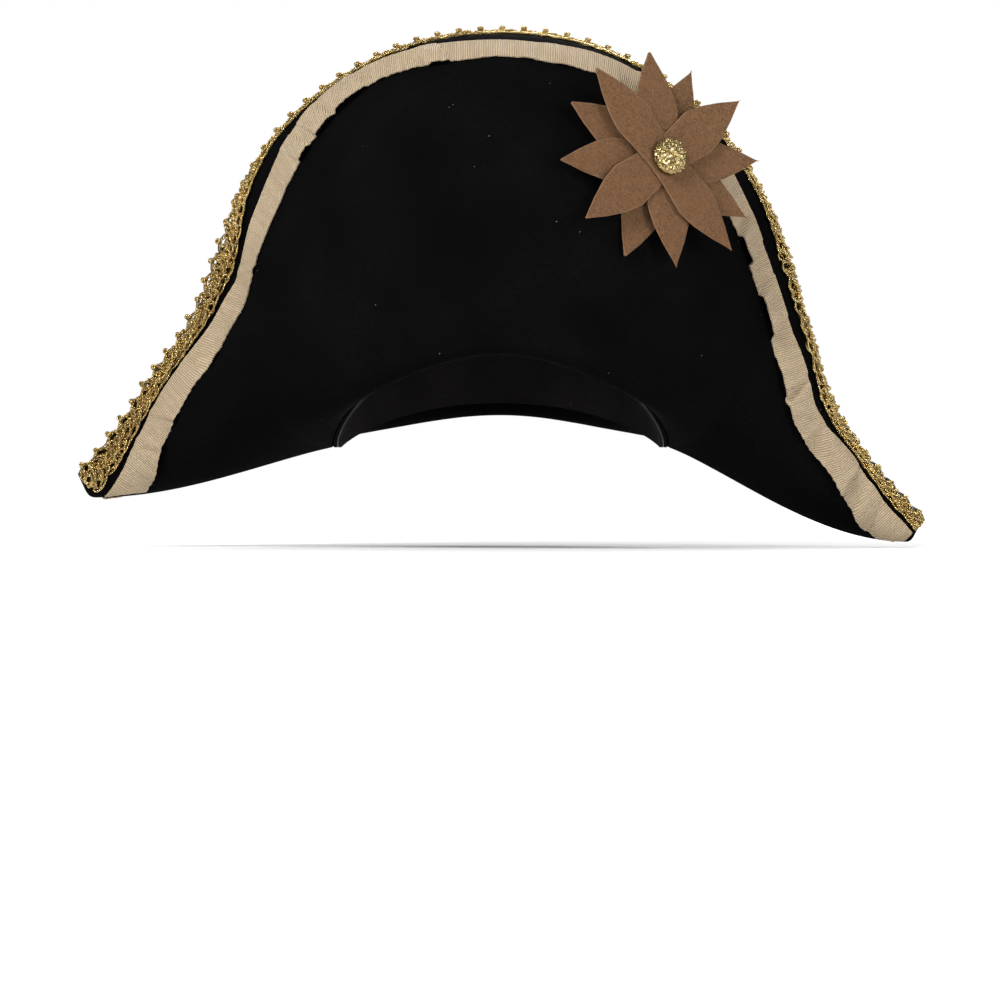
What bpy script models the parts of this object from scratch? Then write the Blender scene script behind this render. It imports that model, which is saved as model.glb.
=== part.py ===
"""A cocked pirate hat of black cloth, worn with its two points over the shoulders.

The hat is a soft crown with a lining and a sweatband, and a wide stiff brim that is turned up into a
front flap and a back flap. Each flap is a sandwich of cloth, foam and an inner facing. A ribbon and a
metal-thread braid run along its edge, and a rosette of six felt leaves is sewn to the front flap under
a button. +X is the wearer's left, -Y is the front and +Z is up. The origin is the middle of the head
opening, at the height of the ears.
"""

import math
from functools import lru_cache

import bmesh
import bpy
import numpy as np
from mathutils import Matrix, Vector

MM = 0.001  # sizes below are in millimetres, and every mesh is scaled by this

# Head opening: an oval whose rim is low over the ears and high over the forehead and the nape
HEAD_HALF_WIDTH = 81.0
HEAD_HALF_DEPTH = 100.0
RIM_AT_EAR = 2.0
RIM_RISE = {"front": 48.0, "back": 26.0}
RIM_POWER = 1.4

# Crown, a dome, and the angles up from the rim at which its pieces have their rings of points
CROWN_TOP = 128.0
SIDE_RINGS = (0.0, 1.5, 8.0, 20.0, 33.0, 45.0)
TOP_RINGS = (45.7, 60.0, 75.0, 86.0)
CROWN_SIDE_POWER, CROWN_RISE_POWER = 0.909, 0.667

# Layers, from the head outwards, and the air between two pieces
GAP = 0.3
SWEATBAND, LINING, CROWN_CLOTH = 1.0, 0.6, 1.5
FLAP_CLOTH, FOAM, FACING = 0.8, 2.4, 0.8
SEAM_ROOM = 0.8  # between the crown and the turned-in end of the brim
FOAM_AT_TIP = 0.4  # the brim's layers thin out to this share of their thickness at the tips
THINS_FROM = 0.7

# Brim in plan: the fold where it turns up, and the keel under each wing
TIP_X = 212.0
KEEL_END = 206.0
FOLD_DEPTH, FOLD_AT_TIP, FOLD_POWER = 112.0, 6.0, 2.0
EDGE_DEPTH, EDGE_AT_TIP, EDGE_POWER = 53.0, 5.2, 1.6
PLAN_REACH = 215.0
KEEL_DROP = {-1: 25.5, 1: 48.0}  # one wing hangs lower than the other
KEEL_POWER = 1.15

# Brim from the front: the edge of both flaps, from the left tip over the top to the right tip
EDGE = (
    (-214, -12), (-197, 7), (-176, 36), (-154, 67), (-141, 98), (-128, 129), (-107, 159), (-76, 183),
    (-40, 198), (0, 202.5), (40, 198), (76, 183), (105, 161), (127, 131), (141, 98), (153, 58),
    (166, 22), (188, -9), (214, -36),
)
BACK_FLAP_LOWER = 4.0
# How far a flap leans back from upright, in degrees, where its ribbon ends and at its very edge, at
# each share of the way from the centre to a tip
LEAN_AT = (0.0, 0.2, 0.3, 0.4, 0.48, 0.55, 0.7, 0.8, 0.93, 1.0)
LEAN_AT_RIBBON = {-1: (60, 48, 25, 8, 8, 10, 28, 20, 5, 0), 1: (60, 48, 30, 20, 8, 5, 25, 30, 5, 0)}
LEAN_AT_EDGE = {-1: (88, 88, 88, 86, 65, 12, 15, 12, 0, 0), 1: (88, 88, 80, 72, 83, 88, 88, 42, 20, 0)}
CURL = 0.30  # length over which the flap takes up that lean, as a share of its height
LEAN_POWER = 0.5  # below 1, most of the curl comes right after the ribbon
LEAST_SLANT = 0.4  # keeps the curled strip short where its section runs along the edge
STRIP_MOST = 0.3  # the curled strip's largest share of the flap's height

# Sections of the brim, from its inner end over the fold
ROLL_TO = 0.5  # share of the way to a tip as far as which the brim rolls up round the head
ROLL_OUT, ROLL_DROP = 0.6, 0.67  # how far the roll swings outwards and down, as shares of its width
HULL_WIDTH, HULL_DROP = 60.0, 0.55  # the wings' hull: how steeply it rises, and how full it is
UPRIGHT = 0.5  # length over which the flap straightens above the fold, as a share of its height

# Trims, measured along the flap's surface from its edge
RIBBON_WIDTH, RIBBON_THICK, RIBBON_IN = 16.0, 0.7, 14.0
BRAID_WIDTH, BRAID_THICK, BRAID_OUT = 12.0, 2.4, 2.0
RIBBON_GAP, BRAID_GAP = 1.4, 1.8
TRIM_CLEAR = 3.0  # the least height of cloth between a trim's outer side and the keel

# Rosette: where it sits as seen from the front, and its leaves from the flap outwards
ROSETTE_X, ROSETTE_Z = 74.0, 137.0
ROSETTE_UPRIGHT = 0.3  # share by which its face is turned from the cloth's slope to the front
LEAVES = (  # angle in degrees, length, sideways shift
    (63, 106, 0.0), (151, 107, 0.0), (3, 113, 0.0), (92, 106, 0.5), (34, 114, 0.5), (128, 109, 2.0),
)
LEAF_THICK, LEAF_WAIST, LEAF_BELLY = 1.2, 9.0, 11.5
LEAF_BELLY_AT, LEAF_POWER = 0.48, 1.35
LEAF_ROOM = 3.0  # between the flap and the first leaf
HOLE_RADIUS = 2.3
BUTTON_RADIUS, BUTTON_HEIGHT, BUTTON_RIM = 9.0, 6.5, 1.2
EYE_RADIUS, EYE_WIRE = 1.5, 0.4
THREAD_SPREAD, THREAD_WIRE = 1.1, 0.35

# Mesh fineness
FLAP_COLUMNS, FLAP_ROWS = 40, 11
TRIM_COLUMNS = 2 * FLAP_COLUMNS
AT_FOLD = 4 / FLAP_ROWS  # share of a flap's rows that lie below its fold
CLOSING, LAST_ROW = 1.4, 0.5
CROWN_COLUMNS = 40

CENTRE = {"front": -1, "back": 1}  # which way along Y a flap stands from the middle
UP = np.array((0.0, 0.0, 1.0))


def ease(t):
    """0 to 1 with a soft start and end."""
    t = min(max(t, 0.0), 1.0)
    return t * t * (3 - 2 * t)


def bezier(a, b, c, d, steps):
    t = np.linspace(0, 1, steps + 1)[:, None]
    return a * (1 - t) ** 3 + 3 * b * t * (1 - t) ** 2 + 3 * c * t**2 * (1 - t) + d * t**3


class Path:
    """A curve that is read by the share of its length, from -1 through 0 in the middle to 1."""

    def __init__(self, points, middle):
        self.points = np.array(points, float)
        steps = np.linalg.norm(np.diff(self.points, axis=0), axis=1)
        along = np.append(0.0, steps.cumsum())
        split = along[middle]
        self.share = np.where(along < split, along / split - 1, (along - split) / (along[-1] - split))

    def at(self, s):
        return np.array([np.interp(s, self.share, axis) for axis in self.points.T])


def through(points, steps=12):
    """A smooth curve (Catmull-Rom) through a few points."""
    p = np.array(points, float)
    p = np.vstack([2 * p[0] - p[1], p, 2 * p[-1] - p[-2]])
    spans = []
    for i in range(1, len(p) - 2):
        b = p[i] + (p[i + 1] - p[i - 1]) / 6
        c = p[i + 1] - (p[i + 2] - p[i]) / 6
        spans.append(bezier(p[i], b, c, p[i + 1], steps)[:-1])
    return np.vstack([*spans, p[-2:-1]])


def plan_depth(x, depth, at_tip, power):
    """How far the brim reaches from the middle plane at x: a hull that narrows to both tips."""
    return at_tip + depth * max(math.cos(math.pi / 2 * x / PLAN_REACH), 0.0) ** power


def rim_height(angle, face):
    return RIM_AT_EAR + RIM_RISE[face] * abs(math.cos(angle)) ** RIM_POWER


def rim_face(angle):
    return "front" if math.cos(angle) > 0 else "back"


# The brim's inner end follows the oval from the middle to the ear, and then the keel to the tip
WALL = SWEATBAND + GAP + LINING + GAP + CROWN_CLOTH
OVAL_X = HEAD_HALF_WIDTH + WALL + SEAM_ROOM
OVAL_Y = HEAD_HALF_DEPTH + WALL + SEAM_ROOM


def keel_height(x):
    t = (abs(x) - OVAL_X) / (KEEL_END - OVAL_X)
    return RIM_AT_EAR - KEEL_DROP[1 if x > 0 else -1] * math.sin(math.pi / 2 * t**KEEL_POWER)


def inner_path(face):
    keel = [(x, GAP / 2, keel_height(x)) for x in np.linspace(KEEL_END, OVAL_X, 20)[:-1]]
    left = [(-x, y, keel_height(-x)) for x, y, _ in keel]
    oval = [
        (OVAL_X * math.sin(a), max(OVAL_Y * math.cos(a), GAP / 2), rim_height(a, face))
        for a in np.linspace(-math.pi / 2, math.pi / 2, 41)
    ]
    points = np.array([*left, *oval, *keel[::-1]])
    points[:, 1] *= CENTRE[face]
    return Path(points, len(points) // 2)


def fold_path(face):
    points = [
        (x, CENTRE[face] * plan_depth(x, FOLD_DEPTH, FOLD_AT_TIP, FOLD_POWER), 0.0)
        for x in np.linspace(-TIP_X, TIP_X, 81)
    ]
    return Path(points, len(points) // 2)


def edge_path(face):
    outline = through(EDGE)
    lower = BACK_FLAP_LOWER if face == "back" else 0.0
    points = [
        (x, CENTRE[face] * plan_depth(x, EDGE_DEPTH, EDGE_AT_TIP, EDGE_POWER), z - lower * ease(z / EDGE[9][1]))
        for x, z in outline
    ]
    return Path(points, len(points) // 2)


PATHS = {face: (inner_path(face), fold_path(face), edge_path(face)) for face in CENTRE}


def edge_run(s, face):
    """The direction of the flap's edge at s."""
    edge = PATHS[face][2]
    run = edge.at(min(s + 0.03, 1.0)) - edge.at(max(s - 0.03, -1.0))
    return run / np.linalg.norm(run)


def edge_strip(s, face, along, width, steps=8):
    """The outermost part of a flap, from the ribbon to the edge, as it curls back; it starts at zero."""
    side = 1 if s > 0 else -1
    ends = [np.interp(abs(s), LEAN_AT, table[side]) for table in (LEAN_AT_RIBBON, LEAN_AT_EDGE)]
    leans = np.radians(ends[0] + (ends[1] - ends[0]) * np.linspace(0, 1, steps) ** LEAN_POWER)[:, None]
    back = np.array((0.0, -CENTRE[face], 0.0))
    strides = along * np.cos(leans) + back * np.sin(leans)
    square = np.linalg.norm(np.cross(strides, edge_run(s, face)), axis=1)[:, None]
    strides *= width / steps / np.maximum(square, LEAST_SLANT)
    return np.vstack([np.zeros(3), strides.cumsum(axis=0)])


@lru_cache(maxsize=None)
def section(s, face):
    """A flap's outer surface at s, from its inner end to its edge, and its length as far as the fold."""
    inner, fold, edge = (path.at(s) for path in PATHS[face])
    outward = (fold - inner) * (1, 1, 0)
    width = np.linalg.norm(outward)
    outward = outward / width
    hull = ease(abs(s) / ROLL_TO)  # 0 where the brim rolls up round the head, 1 under the wings
    rise = hull * width / (1 + width / HULL_WIDTH)
    fold[2] = inner[2] + rise
    along = (edge - fold) * (1, 0, 1)
    height = np.linalg.norm(along)
    along = along / height
    turn = math.pi / 2 * (1 - hull)
    leave = outward * math.cos(turn) - UP * math.sin(turn)
    drop = (1 - hull) * ROLL_DROP * width + hull * HULL_DROP * rise
    bottom = bezier(inner, inner + leave * ROLL_OUT * width, fold - along * drop, fold, 16)
    strip = edge_strip(s, face, along, min(RIBBON_IN, STRIP_MOST * height))
    start = edge - strip[-1]
    curl = (strip[1] - strip[0]) / np.linalg.norm(strip[1] - strip[0]) * CURL * height
    upright = bezier(fold, fold + along * UPRIGHT * height, start - curl, start, 32)
    line = np.vstack([bottom, upright[1:], start + strip[1:]])
    lengths = np.append(0.0, np.linalg.norm(np.diff(line, axis=0), axis=1).cumsum())
    return line, lengths, lengths[16]


def on_section(s, face, length):
    """The point of the flap's surface at a length from the inner end; past the edge it runs straight on."""
    line, lengths, _ = section(s, face)
    point = np.array([np.interp(length, lengths, axis) for axis in line.T])
    if length > lengths[-1]:
        last = line[-1] - line[-4]
        point = line[-1] + last / np.linalg.norm(last) * (length - lengths[-1])
    return point


def flap_point(s, w, face):
    """w is 0 at the inner end, AT_FOLD at the fold and 1 at the edge, where the rows lie closer."""
    _, lengths, to_fold = section(s, face)
    if w <= AT_FOLD:
        return on_section(s, face, to_fold * w / AT_FOLD)
    t = 1 - (1 - (w - AT_FOLD) / (1 - AT_FOLD)) ** CLOSING
    return on_section(s, face, to_fold + (lengths[-1] - to_fold) * t)


def row_at(s, face, length):
    """The w that flap_point has at a length from the inner end."""
    _, lengths, to_fold = section(s, face)
    if length <= to_fold:
        return AT_FOLD * max(length, 0.0) / to_fold
    t = (length - to_fold) / (lengths[-1] - to_fold)
    closing = 1 - max(1 - t, 0.0) ** (1 / CLOSING)
    return AT_FOLD + (1 - AT_FOLD) * (closing + max(t - 1, 0.0) * LAST_ROW)


@lru_cache(maxsize=None)
def flap_node(i, j, face):
    return flap_point(station(i / FLAP_COLUMNS, face), j / FLAP_ROWS, face)


def facet_point(u, w, face):
    """The point of the flap's flat facets at u and w, each facet halved as slab() halves it."""
    i = min(int(u * FLAP_COLUMNS), FLAP_COLUMNS - 1)
    j = min(int(w * FLAP_ROWS), FLAP_ROWS - 1)
    a, b = u * FLAP_COLUMNS - i, w * FLAP_ROWS - j
    start, end = flap_node(i, j, face), flap_node(i + 1, j + 1, face)
    if a >= b:
        corner = flap_node(i + 1, j, face)
        return start + a * (corner - start) + b * (end - corner)
    corner = flap_node(i, j + 1, face)
    return start + b * (corner - start) + a * (end - corner)


def inset_length(s, face, inset):
    """The length along the section of a point that is inset from the edge, measured square to it."""
    line, lengths, _ = section(s, face)
    steps = np.linalg.norm(np.cross(np.diff(line[::-1], axis=0), edge_run(s, face)), axis=1)
    square = np.append(0.0, steps.cumsum())
    if inset < 0 or inset > square[-1]:
        return lengths[-1] - inset if inset < 0 else square[-1] - inset
    return lengths[-1] - float(np.interp(inset, square, lengths[-1] - lengths[::-1]))


def raised(surface, u, w, height):
    """The surface's point moved by height along its normal."""
    step = 0.002
    across = surface(min(u + step, 1.0), w) - surface(max(u - step, 0.0), w)
    along = surface(u, min(w + step, 1.0)) - surface(u, max(w - step, 0.0))
    normal = np.cross(across, along)
    return surface(u, w) + normal / np.linalg.norm(normal) * height


def station(share, face):
    """Along the hat from tip to tip, with a station at each ear, where the keel starts."""
    inner = PATHS[face][0]
    ear = float(np.interp(OVAL_X * 0.9999, inner.points[:, 0], inner.share))
    return -CENTRE[face] * float(np.interp(share, (0, 0.25, 0.75, 1), (-1, -ear, ear, 1)))


def material(name, color, roughness, metallic=0.0):
    made = bpy.data.materials.new(name)
    made.use_nodes = True
    shader = made.node_tree.nodes["Principled BSDF"]
    shader.inputs["Base Color"].default_value = (*color, 1.0)
    shader.inputs["Roughness"].default_value = roughness
    shader.inputs["Metallic"].default_value = metallic
    return made


def add(name, bm, finish):
    """Makes a named, smooth-shaded object of a bmesh that is in millimetres."""
    bmesh.ops.scale(bm, vec=(MM, MM, MM), verts=bm.verts)
    mesh = bpy.data.meshes.new(name)
    bm.to_mesh(mesh)
    bm.free()
    mesh.materials.append(finish)
    mesh.shade_smooth()
    mesh.set_sharp_from_angle(angle=math.radians(50))
    made = bpy.data.objects.new(name, mesh)
    bpy.context.collection.objects.link(made)
    return made


def slab(name, surface, columns, rows, heights, finish, face=None, closed=False, capped=False):
    """A sheet of a piece between two heights over surface(u, w), with u and w from 0 to 1.

    A flap's piece stays on its own side of the keel; a closed sheet runs right round to where it began.
    """

    def point(i, j, height):
        u, w = i / columns, j / rows
        p = raised(surface, u, w, height(u) if callable(height) else height)
        if face:
            p[1] = CENTRE[face] * max(p[1] * CENTRE[face], GAP / 2)
        return bm.verts.new(p)

    def halves(a, b, c, d):
        if len({a, b, c, d}) == 4:
            bm.faces.new((a, b, c))
            bm.faces.new((a, c, d))

    bm = bmesh.new()
    last = columns if closed else columns + 1
    far, near = ([[point(i, j, h) for j in range(rows + 1)] for i in range(last)] for h in heights)
    rounds = list(range(last)) + ([0] if closed else [])
    for i, k in zip(rounds, rounds[1:]):
        for j in range(rows):
            halves(far[i][j], far[k][j], far[k][j + 1], far[i][j + 1])
            halves(near[i][j], near[i][j + 1], near[k][j + 1], near[k][j])
        halves(near[i][0], near[k][0], far[k][0], far[i][0])
        if not capped:
            halves(far[i][-1], far[k][-1], near[k][-1], near[i][-1])
    if capped:
        bm.faces.new([column[-1] for column in far])
        bm.faces.new([column[-1] for column in near[::-1]])
    if not closed:
        for j in range(rows):
            halves(far[0][j], far[0][j + 1], near[0][j + 1], near[0][j])
            halves(near[-1][j], near[-1][j + 1], far[-1][j + 1], far[-1][j])
    bmesh.ops.remove_doubles(bm, verts=bm.verts, dist=0.002)
    return add(name, bm, finish)


def crown_piece(name, rings, depth, thick, finish, capped=False):
    """A ring or a cap of the crown, at its depth under the crown's outside."""

    def surface(u, w):
        round_head = 2 * math.pi * u
        up = math.radians(np.interp(w * (len(rings) - 1), range(len(rings)), rings))
        size = math.cos(up) ** CROWN_SIDE_POWER
        rim = rim_height(round_head, rim_face(round_head))
        x = (HEAD_HALF_WIDTH + WALL) * size * math.sin(round_head)
        y = -(HEAD_HALF_DEPTH + WALL) * size * math.cos(round_head)
        return np.array((x, y, rim + (CROWN_TOP - rim) * math.sin(up) ** CROWN_RISE_POWER))

    heights = -depth, -depth - thick
    slab(name, surface, CROWN_COLUMNS, len(rings) - 1, heights, finish, closed=True, capped=capped)


def make_crown(black, satin, band):
    crown_piece("crown_band", SIDE_RINGS, 0.0, CROWN_CLOTH, black)
    crown_piece("crown_top", TOP_RINGS, 0.0, CROWN_CLOTH, black, capped=True)
    depth = CROWN_CLOTH + GAP
    crown_piece("crown_lining", SIDE_RINGS + TOP_RINGS[1:], depth, LINING, satin, capped=True)
    crown_piece("sweatband", SIDE_RINGS[:3], depth + LINING + GAP, SWEATBAND, band)


def thinning(s):
    """The share of their full thickness that the brim's layers have at s."""
    return 1 - (1 - FOAM_AT_TIP) * ease((abs(s) - THINS_FROM) / (1 - THINS_FROM))


def make_flap(face, black):
    """The three layers of one flap, each at its own depth under the outer surface."""

    def surface(u, w):
        return flap_point(station(u, face), w, face)

    def at_depth(gaps, cloth):
        return lambda u: -gaps * GAP - cloth * thinning(station(u, face))

    cloth = 0.0
    for gaps, (layer, thick) in enumerate((("cloth", FLAP_CLOTH), ("foam", FOAM), ("facing", FACING))):
        heights = at_depth(gaps, cloth), at_depth(gaps, cloth + thick)
        slab(f"{face}_flap_{layer}", surface, FLAP_COLUMNS, FLAP_ROWS, heights, black, face)
        cloth += thick


def trim_end(face, near, side):
    """The share of the way from tip to tip at which a trim first stands clear of the keel."""
    tries = [0.5 + side * away for away in np.linspace(0.5, 0.4, 101)]
    return next(u for u in tries if inset_length(station(u, face), face, near) > TRIM_CLEAR)


def make_trim(name, face, near, far, gap, thick, rows, finish):
    """A tape laid along the flap's edge, from near to far millimetres inside it."""
    stops = np.linspace(0, 1, TRIM_COLUMNS + 1)
    stops[0], stops[-1] = (trim_end(face, near, side) for side in (-1, 1))

    def surface(u, w):
        along = float(np.interp(u * TRIM_COLUMNS, range(TRIM_COLUMNS + 1), stops))
        s = station(along, face)
        inner, outer = (row_at(s, face, inset_length(s, face, inset)) for inset in (far, near))
        return facet_point(along, inner + (outer - inner) * w, face)

    slab(name, surface, TRIM_COLUMNS, rows, (gap + thick, gap), finish, face)


def rosette_frame():
    """Where the rosette is sewn on: the point on the front flap and the axes of the leaves' plane."""

    def off(place):
        x, _, z = flap_point(*place, "front")
        return math.hypot(x - ROSETTE_X, z - ROSETTE_Z)

    tries = [(s, w) for s in np.linspace(0.1, 0.5, 41).tolist() for w in np.linspace(0.5, 1.0, 51).tolist()]
    found = min(tries, key=off)
    foot = flap_point(*found, "front")
    share = (found[0] + 1) / 2

    def surface(u, w):
        return flap_point(2 * u - 1, w, "front")

    out = raised(surface, share, found[1], 1.0) - foot
    out = out * (1 - ROSETTE_UPRIGHT) + np.array((0.0, -1.0, 0.0)) * ROSETTE_UPRIGHT
    normal = Vector(out).normalized()
    right = Vector((0, 0, 1)).cross(normal).normalized()
    turn = Matrix((right, normal.cross(right), normal)).transposed().to_4x4()
    return Vector(foot), turn


def leaf_outline(length):
    """Half the width of a double-pointed leaf, from its waist over its belly to its point."""
    half = length / 2
    belly = half * LEAF_BELLY_AT
    points = []
    for x in np.linspace(0, half, 9)[:-1]:
        if x < belly:
            points.append((x, LEAF_WAIST + (LEAF_BELLY - LEAF_WAIST) * ease(x / belly)))
        else:
            points.append((x, LEAF_BELLY * (1 - ((x - belly) / (half - belly)) ** LEAF_POWER)))
    return points


def stack_object(name, bm, height, finish):
    """Places a piece of the rosette, built flat round the origin, at its height above the flap."""
    foot, turn = rosette_frame()
    made = add(name, bm, finish)
    made.matrix_world = Matrix.Translation(foot * MM) @ turn @ Matrix.Translation((0, 0, height * MM))
    return made


def flat_piece(name, outline, height, thick, finish):
    """A felt piece cut to an outline, its underside at height above the flap."""
    bm = bmesh.new()
    bottom = bm.faces.new([bm.verts.new((x, y, 0.0)) for x, y in outline])
    made = bmesh.ops.extrude_face_region(bm, geom=[bottom], use_keep_orig=True)["geom"]
    raised_verts = [item for item in made if isinstance(item, bmesh.types.BMVert)]
    bmesh.ops.translate(bm, vec=(0, 0, thick), verts=raised_verts)
    bmesh.ops.recalc_face_normals(bm, faces=bm.faces)
    return stack_object(name, bm, height, finish)


def make_leaf(number, height, felt):
    """A felt leaf: one pointed half, and the same half turned round."""
    angle, length, shift = LEAVES[number]
    upper = leaf_outline(length)
    half = [(x, -y) for x, y in upper] + [(length / 2, 0.0)] + upper[::-1]
    outline = half + [(-x, -y) for x, y in half[1:-1]]
    turn = Matrix.Rotation(math.radians(angle), 2)
    placed = [turn @ Vector((x, y + shift)) for x, y in outline]
    return flat_piece(f"rosette_leaf_{number + 1}", placed, height, LEAF_THICK, felt)


def make_button(height, gold):
    """The button's dome, spun from half its outline, with a flat back."""
    bm = bmesh.new()
    arc = np.linspace(0, math.pi / 2, 7)
    outline = [(0, 0), (BUTTON_RADIUS - 1, 0), (BUTTON_RADIUS, BUTTON_RIM / 2)]
    outline += [
        (BUTTON_RADIUS * math.cos(a), BUTTON_RIM + (BUTTON_HEIGHT - BUTTON_RIM) * math.sin(a)) for a in arc
    ]
    verts = [bm.verts.new((x, 0, z)) for x, z in outline]
    edges = [bm.edges.new(pair) for pair in zip(verts, verts[1:])]
    bmesh.ops.spin(
        bm, geom=verts + edges, cent=(0, 0, 0), axis=(0, 0, 1), angle=2 * math.pi, steps=24, use_merge=True
    )
    bmesh.ops.remove_doubles(bm, verts=bm.verts, dist=0.01)
    bmesh.ops.recalc_face_normals(bm, faces=bm.faces)
    return stack_object("button_cap", bm, height, gold)


def make_ring(name, path, square, wire, height, finish):
    """A closed loop of wire or thread along a flat path; square is the direction square to its plane."""
    bm = bmesh.new()
    count, sides = len(path), 8
    turns = [2 * math.pi * k / sides for k in range(sides)]
    rings = []
    for i, point in enumerate(path):
        along = (Vector(path[(i + 1) % count]) - Vector(path[i - 1])).normalized()
        across = along.cross(square)
        offsets = [wire * (square * math.cos(a) + across * math.sin(a)) for a in turns]
        rings.append([bm.verts.new(Vector(point) + offset) for offset in offsets])
    for i, ring in enumerate(rings):
        following = rings[(i + 1) % count]
        for k in range(sides):
            bm.faces.new((ring[k], ring[(k + 1) % sides], following[(k + 1) % sides], following[k]))
    bmesh.ops.recalc_face_normals(bm, faces=bm.faces)
    return stack_object(name, bm, height, finish)


def make_eye(height, gold):
    """The wire eye under the button, standing in the Y-Z plane."""
    angles = np.linspace(0, 2 * math.pi, 17)[:-1]
    path = [(0.0, EYE_RADIUS * math.cos(a), EYE_RADIUS * math.sin(a)) for a in angles]
    return make_ring("button_eye", path, Vector((1, 0, 0)), EYE_WIRE, height, gold)


def make_thread(low, high, thread):
    """The sewing thread: one loop through the button's eye, the leaves and the flap."""
    bend = np.linspace(0, math.pi, 7)
    top = [(THREAD_SPREAD * math.cos(a), 0.0, high + THREAD_SPREAD * 0.5 * math.sin(a)) for a in bend]
    bottom = [(-THREAD_SPREAD * math.cos(a), 0.0, low - THREAD_SPREAD * math.sin(a)) for a in bend]
    return make_ring("rosette_thread", top + bottom, Vector((0, 1, 0)), THREAD_WIRE, 0.0, thread)


def pierce(pieces, low, high):
    """Cuts the hole for the thread and the button's eye through each piece."""
    bm = bmesh.new()
    bmesh.ops.create_cone(
        bm, cap_ends=True, segments=16, radius1=HOLE_RADIUS, radius2=HOLE_RADIUS, depth=high - low
    )
    cutter = stack_object("hole_cutter", bm, (high + low) / 2, material("cutter", (0.5, 0.5, 0.5), 0.5))
    cutter.hide_render = True
    cutter.display_type = "WIRE"
    for piece in pieces:
        cut = piece.modifiers.new("thread_hole", "BOOLEAN")
        cut.operation = "DIFFERENCE"
        cut.solver = "EXACT"
        cut.object = cutter


def make_rosette(felt, gold, thread):
    step = LEAF_THICK + GAP
    pieces = [make_leaf(number, LEAF_ROOM + step * number, felt) for number in range(len(LEAVES))]
    seat = LEAF_ROOM + step * len(LEAVES)
    make_button(seat, gold)
    eye = seat - GAP - EYE_RADIUS - EYE_WIRE
    make_eye(eye, gold)
    below = -(FLAP_CLOTH + FOAM + FACING + 2 * GAP) - 1.5
    make_thread(below, eye - 0.3, thread)
    layers = [bpy.data.objects[f"front_flap_{name}"] for name in ("cloth", "foam", "facing")]
    pierce(pieces + layers, below - 6, seat + 2)


def main():
    for made in list(bpy.data.objects):
        bpy.data.objects.remove(made)
    black = material("black_cloth", (0.012, 0.012, 0.013), 0.85)
    satin = material("lining_cloth", (0.02, 0.02, 0.022), 0.55)
    band = material("sweatband_cloth", (0.03, 0.028, 0.027), 0.8)
    beige = material("ribbon", (0.50, 0.39, 0.25), 0.7)
    gold = material("metal_thread", (0.62, 0.42, 0.12), 0.35, 1.0)
    felt = material("felt", (0.22, 0.115, 0.052), 0.95)
    bright = material("button_metal", (0.72, 0.56, 0.25), 0.25, 1.0)
    thread = material("sewing_thread", (0.1, 0.06, 0.03), 0.8)
    make_crown(black, satin, band)
    for face in CENTRE:
        make_flap(face, black)
        inner = RIBBON_IN + RIBBON_WIDTH
        make_trim(f"{face}_ribbon", face, RIBBON_IN, inner, RIBBON_GAP, RIBBON_THICK, 3, beige)
        inner = BRAID_WIDTH - BRAID_OUT
        make_trim(f"{face}_braid", face, -BRAID_OUT, inner, BRAID_GAP, BRAID_THICK, 2, gold)
    make_rosette(felt, bright, thread)


main()
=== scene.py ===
# %% [markdown]
# # A cocked pirate hat, piece by piece
# The imported part gives the sizes and the places of all 23 pieces. This script keeps to them and makes the
# finer, soft versions: cloth that rolls over its edge, ribbed ribbon, twisted metal cord and felt leaves.
# We load the part first and keep its outer box, which also sets the floor's level.

import math

import bmesh
import bpy
import numpy as np
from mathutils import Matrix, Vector, noise


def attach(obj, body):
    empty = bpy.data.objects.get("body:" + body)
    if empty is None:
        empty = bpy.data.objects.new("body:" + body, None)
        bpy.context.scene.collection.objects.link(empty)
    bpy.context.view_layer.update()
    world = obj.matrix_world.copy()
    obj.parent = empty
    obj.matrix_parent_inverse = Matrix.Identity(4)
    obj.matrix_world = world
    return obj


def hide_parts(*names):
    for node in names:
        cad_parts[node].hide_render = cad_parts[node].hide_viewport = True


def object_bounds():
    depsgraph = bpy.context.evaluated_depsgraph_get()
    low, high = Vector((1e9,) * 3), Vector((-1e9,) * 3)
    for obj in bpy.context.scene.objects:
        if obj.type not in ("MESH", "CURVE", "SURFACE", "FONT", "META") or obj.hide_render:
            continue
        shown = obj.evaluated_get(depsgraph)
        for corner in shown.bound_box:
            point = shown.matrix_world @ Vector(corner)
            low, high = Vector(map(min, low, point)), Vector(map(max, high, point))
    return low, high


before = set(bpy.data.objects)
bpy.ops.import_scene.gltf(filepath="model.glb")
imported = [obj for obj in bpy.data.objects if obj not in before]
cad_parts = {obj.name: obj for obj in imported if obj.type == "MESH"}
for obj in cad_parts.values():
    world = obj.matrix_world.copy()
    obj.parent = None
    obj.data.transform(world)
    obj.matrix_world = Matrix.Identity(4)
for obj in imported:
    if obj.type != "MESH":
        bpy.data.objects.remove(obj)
CAD_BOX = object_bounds()
MM = 0.001  # lengths are worked out in millimetres and scaled when a mesh is made
print("nodes", len(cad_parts), "box", CAD_BOX)

# %% [markdown]
# ## Camera, floor and lights
# A hat for sale is shown from the front, near eye height, with a long lens so that its wings aren't
# stretched. The light is that of a small studio: a large soft box over the left shoulder, a fill on the
# right, and a strip behind that catches the metal thread. The floor is plain and pale.

# %% Camera
SHOOTING_DISTANCE, SHOOTING_HEIGHT = 1.5, -0.025
FRAME_WIDTH = 0.509  # how wide a slice through the middle of the hat the camera sees


def placed(name, data):
    thing = bpy.data.objects.new(name, data)
    bpy.context.collection.objects.link(thing)
    return thing


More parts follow.
